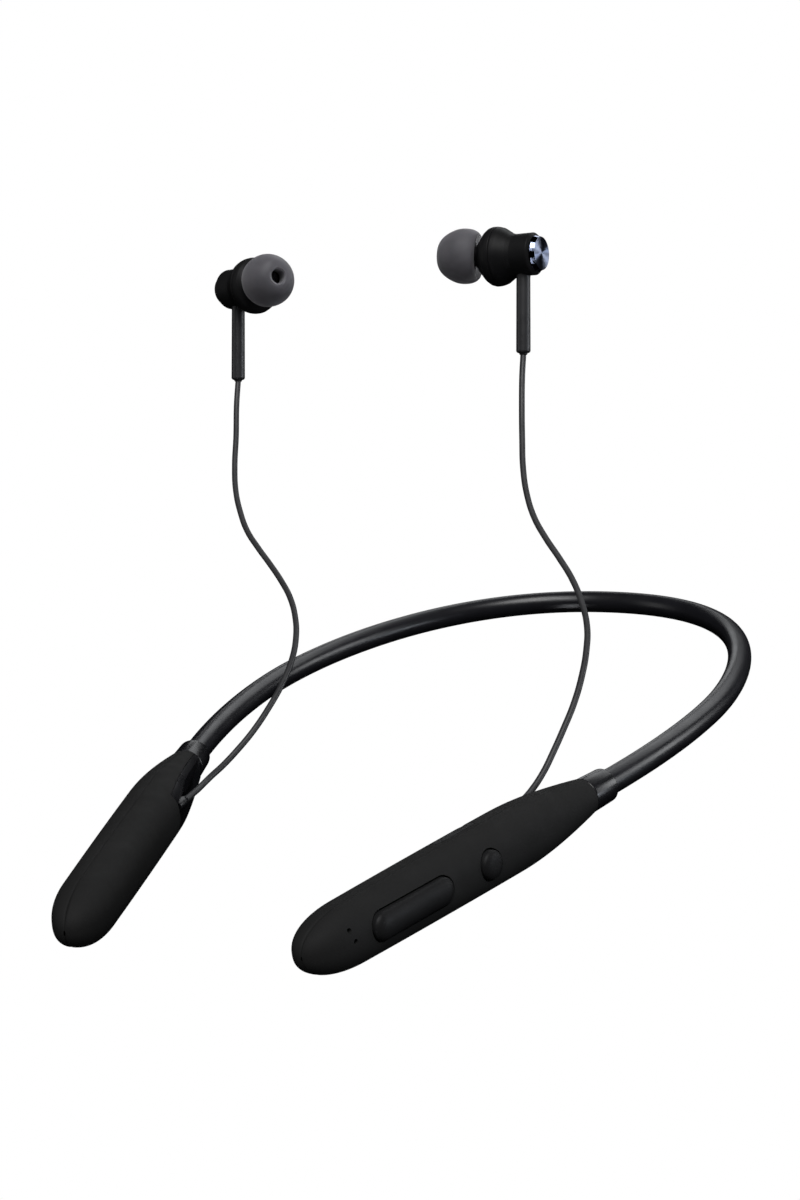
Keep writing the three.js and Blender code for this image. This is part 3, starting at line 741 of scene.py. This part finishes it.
def smooth_line(points, per_span=6):
    """A Catmull-Rom curve through the points."""
    line = [Vector(point) for point in points]
    ends = [2 * line[0] - line[1], *line, 2 * line[-1] - line[-2]]
    result = []
    for i in range(1, len(ends) - 2):
        p0, p1, p2, p3 = ends[i - 1:i + 3]
        for k in range(per_span):
            t = k / per_span
            bend = (2 * p0 - 5 * p1 + 4 * p2 - p3) * t ** 2
            twist = (3 * p1 - p0 - 3 * p2 + p3) * t ** 3
            result.append(tuple((2 * p1 + (p2 - p0) * t + bend + twist) / 2))
    return [*result, tuple(line[-1])]


def box_solid(low, high):
    """A box between two opposite corners."""
    points = [(x, y, z) for x in (low[0], high[0]) for y in (low[1], high[1])
              for z in (low[2], high[2])]
    faces = [(0, 1, 3, 2), (4, 6, 7, 5), (0, 4, 5, 1), (2, 3, 7, 6), (0, 2, 6, 4), (1, 5, 7, 3)]
    return new_solid(points, faces)


def rocker_ring(inset, x):
    """The rocker's round-ended outline at x, pulled in by inset."""
    radius = max(ROCKER_WIDTH / 2 - inset, 0)
    straight = (ROCKER_LENGTH - ROCKER_WIDTH) / 2
    ring = []
    for end in (1, -1):
        for k in range(KEY_END_STEPS + 1):
            angle = -math.pi / 2 + math.pi * k / KEY_END_STEPS
            along = end * (straight + radius * math.cos(angle))
            ring.append((x, -ROCKER_S + along, ROCKER_Z + end * radius * math.sin(angle)))
    return ring


def rocker_solid(levels):
    """The rocker's outline lofted through levels of (inset, x)."""
    return loft([rocker_ring(inset, x) for inset, x in levels])


# Places of the groups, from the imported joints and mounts

def housing_place(side):
    """The local axes of a housing; the right-hand one mirrors the left-hand one."""
    rocker = JOINTS["volume_rocker_tilt"]
    outward = -Vector(JOINTS["function_button_press"]["axis"]).normalized()
    up = Vector(rocker["axis"]).normalized()
    back = up.cross(outward)
    pivot = Vector((KEY_PIVOT_X, -ROCKER_S, ROCKER_Z)) * MM
    origin = Vector(rocker["pos_m"]) - pivot.x * outward - pivot.y * back - pivot.z * up
    axes = Matrix((outward, back, up)).transposed().to_4x4()
    place = Matrix.Translation(origin) @ axes
    if side == "left":
        return place
    flip = Matrix.Scale(-1, 4, (1, 0, 0))
    return flip @ place @ flip


def earbud_place(side):
    """The local axes of an earbud: x from the cap to the ear, z up the stem."""
    mount = MOUNTS[side + "_cap_face"]
    ear = -Vector(mount["axis"]).normalized()
    up = Vector(JOINTS[side + "_earbud_turn"]["axis"]).normalized()
    origin = Vector(mount["pos_m"]) - ear * CAP_FACE_X * MM
    axes = Matrix((ear, up.cross(ear), up)).transposed().to_4x4()
    return Matrix.Translation(origin) @ axes


# Band

def droop(y):
    """The height of the band's line at y: it sinks from the nape to the arms' ends."""
    forward = TUBE_RADIUS - y
    return -DROOP_SLOPE * forward - DROOP_CURVE * forward ** 2


def band_line(offset):
    """The left half of the band's line, moved outwards by offset, from nape to arm's end."""
    ahead = Vector((-math.sin(TOE_IN), -math.cos(TOE_IN)))
    shoulder = Vector((BAND_HALF_WIDTH, SHOULDER_Y))
    nape = interpolate_bezier(
        Vector((0, TUBE_RADIUS)), Vector((NAPE_FLATNESS, TUBE_RADIUS)),
        shoulder + Vector((0, SHOULDER_REACH)), shoulder, NAPE_POINTS)
    arm = interpolate_bezier(
        shoulder, shoulder - Vector((0, ARM_REACH_SHOULDER)),
        ARM_END - ahead * ARM_REACH_END, ARM_END, ARM_POINTS)
    flat = [Vector(p).to_2d() for p in nape] + [Vector(p).to_2d() for p in arm[1:]]
    line = []
    for i, place in enumerate(flat):
        after, before = flat[min(i + 1, len(flat) - 1)], flat[max(i - 1, 0)]
        run = Vector((1, 0)) if i == 0 else (after - before).normalized()
        line.append(Vector((place.x - offset * run.y, place.y + offset * run.x, droop(place.y))))
    return line


def sweep(line, radius, sides):
    """A round bar along a line that starts along x, open at its start and closed at its end."""
    points = []
    for i, centre in enumerate(line):
        along = line[min(i + 1, len(line) - 1)] - line[max(i - 1, 0)]
        along = Vector((1, 0, 0)) if i == 0 else along.normalized()
        side = along.cross(Vector((0, 0, 1))).normalized()
        up = side.cross(along)
        for j in range(sides):
            angle = 2 * math.pi * j / sides
            points.append(centre + radius * (math.cos(angle) * side + math.sin(angle) * up))
    faces = loft_faces(len(line), sides)
    faces.append(tuple(range(len(points) - sides, len(points))))
    return new_solid(points, faces)


def add_band():
    """Each half of the band is swept on its own; the halves meet at the middle of the nape."""
    strands = [
        ("band_tube", 0.0, TUBE_RADIUS, 40, "band_skin"),
        ("spring_wire", WIRE_OFFSET, WIRE_RADIUS, 12, "spring_steel"),
        ("band_cable", -WIRE_OFFSET, WIRE_RADIUS, 12, "cord_jacket"),
    ]
    for node, offset, radius, sides, slot in strands:
        for side in SIDES:
            hand = 1 if side == "left" else -1
            solid = sweep(band_line(offset), radius, sides)
            finish_piece(solid, f"{side}_{node}", slot, None, Matrix.Identity(4), node, hand)
            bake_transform(solid)


# Housings

def housing_radius(s):
    """Half the height of the housing at s."""
    full = HOUSING_HEIGHT / 2
    if s < SHOULDER_S:
        u = (s - HOUSING_REAR) / (SHOULDER_S - HOUSING_REAR)
        return REAR_RADIUS + (full - REAR_RADIUS) * math.sin(u * math.pi / 2) ** SHOULDER_POWER
    if s < TIP_START_S:
        u = (s - SHOULDER_S) / (TIP_START_S - SHOULDER_S)
        return full - TAPER * u * u
    u = min((s - TIP_START_S) / (HOUSING_LENGTH - TIP_START_S), 1)
    return (full - TAPER) * max(1 - u ** NOSE_POWER, 0) ** (1 / NOSE_POWER)


def housing_section(s, inset=0.0):
    """Half width, half height and the exponent of the section at s."""
    height = max(housing_radius(s) - inset, LEAST_RADIUS)
    squareness = min(max((s - HOUSING_REAR) / SQUARING_RUN, 0), 1)
    width = height * (1 + (HOUSING_WIDTH / HOUSING_HEIGHT - 1) * squareness)
    return width, height, 2 / (2 + (SECTION_POWER - 2) * squareness)


def section_point(s, section, angle):
    """The point of a section at an angle from its outer side."""
    width, height, power = section
    across, up = math.cos(angle), math.sin(angle)
    x = math.copysign(width * abs(across) ** power, across)
    return Vector((x, -s, math.copysign(height * abs(up) ** power, up)))


def housing_stations():
    """Distances along the housing, closer together towards the nose's end."""
    shoulder = SHOULDER_S - HOUSING_REAR
    middle = TIP_START_S - SHOULDER_S
    nose = HOUSING_LENGTH - TIP_START_S
    return [
        *(HOUSING_REAR + shoulder * (k / REAR_STEPS) for k in range(REAR_STEPS)),
        *(SHOULDER_S + middle * k / MIDDLE_STEPS for k in range(MIDDLE_STEPS)),
        *(TIP_START_S + nose * math.sin(math.pi / 2 * k / NOSE_STEPS) for k in range(NOSE_STEPS)),
    ]


def housing_solid():
    """The whole housing, without parting line or hollow."""
    turns = [2 * math.pi * j / SECTION_SIDES for j in range(SECTION_SIDES)]
    rings = []
    for s in [*housing_stations(), NOSE_END_S]:
        section = housing_section(s)
        rings.append([section_point(s, section, angle) for angle in turns])
    return loft(rings)


def parting_edge(outer):
    """The x that the outer or the inner shell ends at."""
    return PARTING_X + (PARTING_GAP / 2 if outer else -PARTING_GAP / 2)


def parting_angle(section, x):
    """The angle at which a section's upper half crosses x."""
    width, _, power = section
    share = max(min(x / width, 1), -1)
    return math.acos(math.copysign(abs(share) ** (1 / power), share))


def parting_dip(point, section):
    """Rolls the surface in towards the parting line, more so at the nose."""
    height = section[1]
    near = max(1 - abs(point.x - PARTING_X) / ROLL_WIDTH, 0)
    nose = min(max((-point.y - TIP_START_S - NOSE_ROLL_START) / NOSE_ROLL_RUN, 0), 1)
    depth = (ROLL_DEPTH + (NOSE_ROLL_DEPTH - ROLL_DEPTH) * nose) * near ** 2
    scale = 1 - min(depth, height * ROLL_LIMIT) / height
    return Vector((point.x, point.y, point.z * scale))


def shell_arc(s, section, outer):
    """One face of a shell's wall at s, from the upper parting line to the lower one."""
    start = parting_angle(section, parting_edge(outer))
    end = -start if outer else 2 * math.pi - start
    arc = []
    for j in range(ARC_STEPS + 1):
        t = 2 * j / ARC_STEPS - 1
        crowded = 1.5 * t - 0.5 * t ** 3
        share = 0.5 + 0.5 * (EVEN_SHARE * t + (1 - EVEN_SHARE) * crowded)
        arc.append(section_point(s, section, start + (end - start) * share))
    return arc


def shell_ring(s, outer):
    """A C-shaped section: out along the outside of the wall and back along its inside."""
    outside = housing_section(s)
    inner_s = min(s, INNER_END_S)
    inside = housing_section(inner_s, WALL)
    skin = [parting_dip(point, outside) for point in shell_arc(s, outside, outer)]
    return skin + shell_arc(inner_s, inside, outer)[::-1]


def shell_solid(outer):
    """One of the two shells; the outer one stops where the nose gets too narrow for it."""
    stations = housing_stations()
    if outer:
        least = parting_edge(outer) + OUTER_SHELL_LEAST
        stations = [s for s in stations if housing_section(s)[0] > least]
    else:
        stations.append(NOSE_END_S)
    return loft([shell_ring(s, outer) for s in stations])


def plate_slab(low, high, start, end):
    """A slab along the outlet plate; low and high count inwards from the plate's face."""
    half_height = 10
    slope = math.atan((PLATE_DEPTH_FRONT - PLATE_DEPTH_REAR) / (PLATE_END_S - HOUSING_REAR))
    slab = box_solid(
        (low, HOUSING_REAR - end, -half_height), (high, HOUSING_REAR - start, half_height))
    turn = Matrix.Rotation(-slope, 4, "Z")
    place = Matrix.Translation(Vector((-PLATE_DEPTH_REAR, -HOUSING_REAR, 0)) * MM)
    slab.data.transform(place @ turn)
    return slab


def cut_plate_room(shell):
    """Cuts away what would stand out over the outlet plate, and the plate's own room."""
    beyond, before = -20, -8
    room = plate_slab(beyond, PLATE_THICKNESS + PLATE_GAP, before, PLATE_END_S + PLATE_END_GAP)
    combine(shell, room, "DIFFERENCE")


def outlet_place():
    """The cord outlet's own axes inside the housing's: y out along the cord."""
    turn = Matrix.Rotation(OUTLET_TILT, 4, "Z")
    return Matrix.Translation(OUTLET * MM) @ turn


def cut_outlet(solid, start):
    """Bores the hole that the cord's grommet sits in, from start."""
    end = 4
    rod = lathe([(start, 0), (start, OUTLET_RADIUS), (end, OUTLET_RADIUS), (end, 0)], "y", sides=40)
    rod.data.transform(outlet_place())
    combine(solid, rod, "DIFFERENCE")


def add_shells(side, place, hand):
    """The two halves of a housing; the left-hand one has openings for the keys and the port."""
    body = side + "_arm"
    outer = shell_solid(True)
    cut_plate_room(outer)
    if side == "left":
        cut_key_openings(outer)
    finish_piece(outer, side + "_outer_casing", "shell", body, place, side + "_outer_shell", hand)
    inner = shell_solid(False)
    cut_plate_room(inner)
    cut_outlet(inner, -6)
    if side == "left":
        combine(inner, flap_block(FLAP_GAP), "DIFFERENCE")
        low = (PORT_X - PORT_ROOM_HALF_WIDTH, -PORT_S - PORT_ROOM_HALF_LENGTH, 0)
        high = (PORT_X + PORT_ROOM_HALF_WIDTH, -PORT_S + PORT_ROOM_HALF_LENGTH, ABOVE_Z)
        combine(inner, box_solid(low, high), "DIFFERENCE")
    finish_piece(inner, side + "_inner_casing", "shell", body, place, side + "_inner_shell", hand)


def cut_key_openings(outer):
    """The rocker's and the button's openings, and the two pinholes."""
    start, end = KEY_HOLE_START, KEY_HOLE_END
    combine(outer, rocker_solid([(-KEY_GAP, start), (-KEY_GAP, end)]), "DIFFERENCE")
    holes = [
        (BUTTON_S, BUTTON_Z, BUTTON_RADIUS + KEY_GAP),
        (*MIC_HOLE, PIN_HOLE_RADIUS),
        (*LED_HOLE, PIN_HOLE_RADIUS),
    ]
    for s, z, radius in holes:
        rod = lathe([(start, 0), (start, radius), (end, radius), (end, 0)], "x", sides=40)
        rod.data.transform(Matrix.Translation(Vector((0, -s, z)) * MM))
        combine(outer, rod, "DIFFERENCE")


def collar_sleeve():
    """The sleeve that the tube goes into, with a spigot that reaches into the housing."""
    mouth = TUBE_RADIUS + TUBE_GAP
    outline = [(-s, radius) for s, radius in [
        (COLLAR_START_S, mouth), (COLLAR_START_S, COLLAR_RADIUS),
        (COLLAR_END_S, REAR_RADIUS - COLLAR_INSET), (COLLAR_END_S, SPIGOT_RADIUS),
        (SPIGOT_END_S, SPIGOT_RADIUS), (SPIGOT_END_S, SPIGOT_BORE),
        (TUBE_SEAT_S, SPIGOT_BORE), (TUBE_SEAT_S, mouth),
    ]]
    return lathe(rounded(outline, COLLAR_ROUNDING, closed=True), "y", sides=80, closed=True)


def outlet_plate():
    """The flat facet, cut to the housing's own outline."""
    slab = plate_slab(0, PLATE_THICKNESS, HOUSING_REAR + PLATE_START_GAP, PLATE_END_S)
    plate = combine(slab, housing_solid(), "INTERSECT")
    cut_outlet(plate, -8)
    return plate


def outlet_grommet():
    """The small collar round the cord, narrowing as the cord leaves it."""
    outline = [
        (GROMMET_FOOT, 0), (GROMMET_FOOT, GROMMET_RADIUS), (0.5, GROMMET_RADIUS), (0.9, 1.12),
        (GROMMET_TOP, 0.92), (GROMMET_TOP, 0),
    ]
    grommet = lathe(rounded(outline, 0.16), "y", sides=48)
    grommet.data.transform(outlet_place())
    return grommet


def add_collar(side, place, hand):
    """The glossy pieces of one arm: the sleeve, the flat plate and the cord's grommet."""
    pieces = [
        (collar_sleeve(), "_collar_sleeve", "_collar"),
        (outlet_plate(), "_outlet_plate", "_collar"),
        (outlet_grommet(), "_outlet_grommet", "_cord_grommet"),
    ]
    for solid, name, node in pieces:
        finish_piece(solid, side + name, "collar_gloss", side + "_arm", place, side + node, hand)


def flap_block(room):
    """The round-cornered block that the flap is cut from, grown by room."""
    half = FLAP_WIDTH / 2 + room
    middle = (FLAP_START + FLAP_END) / 2
    reach = (FLAP_END - FLAP_START) / 2 + room
    outline = rounded([(-half, -reach), (half, -reach), (half, reach), (-half, reach)],
                      FLAP_CORNER + room, steps=8, closed=True)
    base = HOUSING_HEIGHT / 2 - FLAP_THICKNESS - FLAP_SINK - room
    rings = [[(PORT_X + x, -middle + y, z) for x, y in outline] for z in (base, ABOVE_Z)]
    return loft(rings)


def add_flap(place):
    """The socket's cover, cut from the housing's own skin, with a scallop for a thumbnail."""
    flap = combine(flap_block(0), housing_solid(), "INTERSECT")
    dish = smooth_line([(-1.6, 0), (-1.3, 1.2), (0, 2.2), (1.3, 1.2), (1.6, 0)])
    scallop = lathe(dish, "x", sides=32)
    scallop.data.transform(Matrix.Translation(SCALLOP * MM))
    combine(flap, scallop, "DIFFERENCE")
    finish_piece(flap, "port_cover", "keys", "port_flap", place, "port_flap")


def add_keys(place):
    """The rocker with its crowned top, and the round button with its dome."""
    face = HOUSING_WIDTH / 2 + ROCKER_PROUD
    flange = KEY_FOOT_X + KEY_FLANGE
    levels = [(0.0, flange)]
    for k in range(CROWN_STEPS + 1):
        angle = math.pi / 2 * k / CROWN_STEPS
        levels.append((CROWN_INSET * (1 - math.cos(angle)), face - CROWN * (1 - math.sin(angle))))
    rocker = rocker_solid(levels)
    finish_piece(rocker, "rocker_cap", "keys", "volume_rocker", place, "volume_rocker")
    foot = [(KEY_FOOT_X, 0), (KEY_FOOT_X, BUTTON_POST_RADIUS), (flange, BUTTON_POST_RADIUS),
            (flange, BUTTON_RADIUS)]
    dome = smooth_line([
        (face - 1.0, BUTTON_RADIUS), (face - 0.55, BUTTON_RADIUS - 0.28),
        (face - 0.2, BUTTON_RADIUS - 0.95), (face - 0.05, 1.0), (face, 0)])
    button = lathe([*rounded(foot, 0.1), *dome], "x", sides=64)
    button.data.transform(Matrix.Translation(Vector((0, -BUTTON_S, BUTTON_Z)) * MM))
    finish_piece(button, "button_cap", "keys", "function_button", place, "function_button")


def add_housings():
    """Both housings; the keys and the port are on the left-hand one."""
    for side in SIDES:
        place = housing_place(side)
        hand = 1 if side == "left" else -1
        add_shells(side, place, hand)
        add_collar(side, place, hand)
    add_keys(housing_place("left"))
    add_flap(housing_place("left"))


# Earbuds: their outlines are lists of (along, radius)

def nozzle_place(hand):
    """The nozzle's own axes inside the earbud's: x out of the nozzle."""
    turn = Matrix.Rotation(hand * NOZZLE_TURN, 4, "Z") @ Matrix.Rotation(-NOZZLE_RISE, 4, "Y")
    return Matrix.Translation(Vector((NOZZLE_START, 0, 0)) * MM) @ turn


def rear_housing():
    """The cylinder behind the cap, flaring into the back half of the swelling."""
    floor = CAP_SEAT_X + 0.1
    inner_floor = -2.2
    wall = [
        (floor, 0), (floor, 4.1), (-2.75, 4.66), (-0.3, 4.62), (1.4, 4.6), (2.4, 4.85),
        (3.4, 5.5), (4.5, 6.2), (BACK_EDGE_X, BUD_RADIUS), (BACK_EDGE_X, SEAM_BORE), (4.2, 5.3),
        (2.4, CYLINDER_BORE), (inner_floor, CYLINDER_BORE), (inner_floor, 0),
    ]
    return lathe(rounded(wall, BUD_ROUNDING), "x", sides=96)


def front_housing():
    """The front half of the swelling, closing in round the nozzle."""
    wall = [
        (FRONT_EDGE_X, SEAM_BORE), (FRONT_EDGE_X, BUD_RADIUS), (BULGE_X + 0.3, 6.55), (7.3, 6.35),
        (8.0, 5.85), (8.6, 5.2), (10.1, 3.5), (10.4, 2.6), (10.2, 1.6), (8.4, 1.6), (8.2, 2.2),
        (7.2, 5.3),
    ]
    return lathe(rounded(wall, BUD_ROUNDING, closed=True), "x", sides=96, closed=True)


def nozzle_tube(hand):
    """The tube that sound leaves by, with a barb that holds the ear tip."""
    start, screen = 1.2, 8.7
    wall = [
        (start, NOZZLE_RADIUS), (7.4, NOZZLE_RADIUS), (7.4, NOZZLE_BARB), (8.6, NOZZLE_BARB),
        (9.3, NOZZLE_RADIUS), (9.4, 1.95), (screen, 1.9), (screen, NOZZLE_BORE),
        (start, NOZZLE_BORE),
    ]
    tube = lathe(rounded(wall, 0.12, closed=True), "x", sides=56, closed=True)
    tube.data.transform(nozzle_place(hand))
    return tube


def ear_tip(hand):
    """A sleeve on the nozzle under a dome that turns back over it; measured back from its front."""
    dome = smooth_line([
        (0.08, 2.0), (0.35, 2.85), (1.0, 3.85), (2.0, 4.72), (3.4, 5.5), (4.8, 5.97),
        (6.2, 6.08), (7.6, 5.92), (8.6, 5.5), (9.15, 4.98)], per_span=5)
    lip = smooth_line([
        (9.2, 4.85), (9.05, 4.75), (8.3, 5.05), (7.0, 5.35), (5.2, 5.3), (3.8, 4.8),
        (2.9, 4.1), (2.75, 3.8)], per_span=4)
    outside = TIP_SLEEVE + TIP_SLEEVE_WALL
    core = rounded([
        (3.0, outside), (8.0, outside), (8.0, TIP_SLEEVE), (3.2, TIP_SLEEVE), (3.2, TIP_BORE),
        (0.3, TIP_BORE)], 0.2, steps=4)
    outline = [(TIP_FRONT - back, radius) for back, radius in [*dome, *lip, *core]]
    tip = lathe(outline, "x", sides=96, closed=True)
    tip.data.transform(nozzle_place(hand))
    return tip


def nozzle_screen(hand):
    """A slightly domed disc of mesh across the nozzle's mouth."""
    outline = smooth_line([(8.86, 0), (8.86, 1.55), (8.94, 1.62), (9.05, 1.5), (9.22, 0)])
    screen = lathe(outline, "x", sides=40)
    screen.data.transform(nozzle_place(hand))
    return screen


def metal_cap():
    """A disc with a flat round face in a steep chamfer."""
    wall = [
        (CAP_SEAT_X, 0), (CAP_SEAT_X, CAP_RADIUS), (CAP_SEAT_X - CAP_BAND, CAP_RADIUS),
        (CAP_FACE_X, CAP_FACE_RADIUS), (CAP_FACE_X, 0),
    ]
    return lathe(rounded(wall, 0.07, steps=4), "x", sides=128)


def stem_solid():
    """The strain relief: a straight sleeve with a rounded foot and a small neck for the cord."""
    neck, top = STEM_BOTTOM - STEM_NECK, -4.0
    wall = [
        (neck, 0), (neck, 0.85), (STEM_BOTTOM, 0.95), (STEM_BOTTOM, 1.3),
        (STEM_BOTTOM + 0.35, 1.58), (-5.2, 1.53), (-4.4, 1.6), (top, 1.5), (top, 0),
    ]
    return lathe(rounded(wall, 0.3), "z", sides=56)


def add_earbud(side):
    """One earbud; the nozzle turns forwards on both, so the two sides turn opposite ways."""
    place = earbud_place(side)
    bud, tip = side + "_earbud", side + "_ear_tip"
    hand = -1 if side == "left" else 1
    pieces = [
        (rear_housing(), "_bud_back", "earbud_shell", bud, "_rear_housing"),
        (front_housing(), "_bud_front", "earbud_shell", bud, "_front_housing"),
        (nozzle_tube(hand), "_nozzle", "earbud_shell", bud, "_front_housing"),
        (nozzle_screen(hand), "_nozzle_screen", "mesh", bud, "_nozzle_mesh"),
        (metal_cap(), "_spun_cap", "cap_metal", bud, "_metal_cap"),
        (stem_solid(), "_strain_relief", "stem", bud, "_stem"),
        (ear_tip(hand), "_silicone_tip", "ear_tip", tip, "_ear_tip"),
    ]
    for solid, name, slot, body, node in pieces:
        sharp = CAP_SHARP_ANGLE if slot == "cap_metal" else SHARP_ANGLE
        finish_piece(solid, side + name, slot, body, place, side + node, sharp=sharp)


# Cords

def add_cord(side):
    """A round cord along its route, from the housing's grommet to the earbud's stem."""
    route = CORD_ROUTES[side]
    data = bpy.data.curves.new(side + "_earbud_cord", "CURVE")
    data.dimensions = "3D"
    data.bevel_depth = CORD_RADIUS * MM
    data.bevel_resolution = 5
    data.resolution_u = 8
    data.use_fill_caps = True
    spline = data.splines.new("BEZIER")
    spline.bezier_points.add(len(route) - 1)
    for knot, place in zip(spline.bezier_points, route):
        knot.co = place
        knot.handle_left_type = "AUTO"
        knot.handle_right_type = "AUTO"
    cord = bpy.data.objects.new(side + "_earbud_cord", data)
    bpy.context.scene.collection.objects.link(cord)
    data.materials.append(MATERIALS["cord_jacket"])
    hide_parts(side + "_cord")
    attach(cord, side + "_arm")


# CAD nodes that keep their own shape

def finish_kept_nodes():
    """Gives every CAD node its finish, by the slot that the record names for it."""
    slots = {part["node"]: part["material_slot"] for part in frame["record"]["subparts"]}
    for name, node in frame["nodes"].items():
        node.data.materials.clear()
        node.data.materials.append(MATERIALS[slots[name]])


# The scene

add_camera()
add_world()
add_floor()
add_sky("sky", azimuth=25, elevation=52, power=2.6, spread=40)
for softbox in SOFTBOXES:
    add_softbox(*softbox)
for side in SIDES:
    add_cord(side)
finish_kept_nodes()
add_band()
add_housings()
for side in SIDES:
    add_earbud(side)

bpy.context.scene.view_settings.view_transform = "Standard"
bpy.context.view_layer.update()
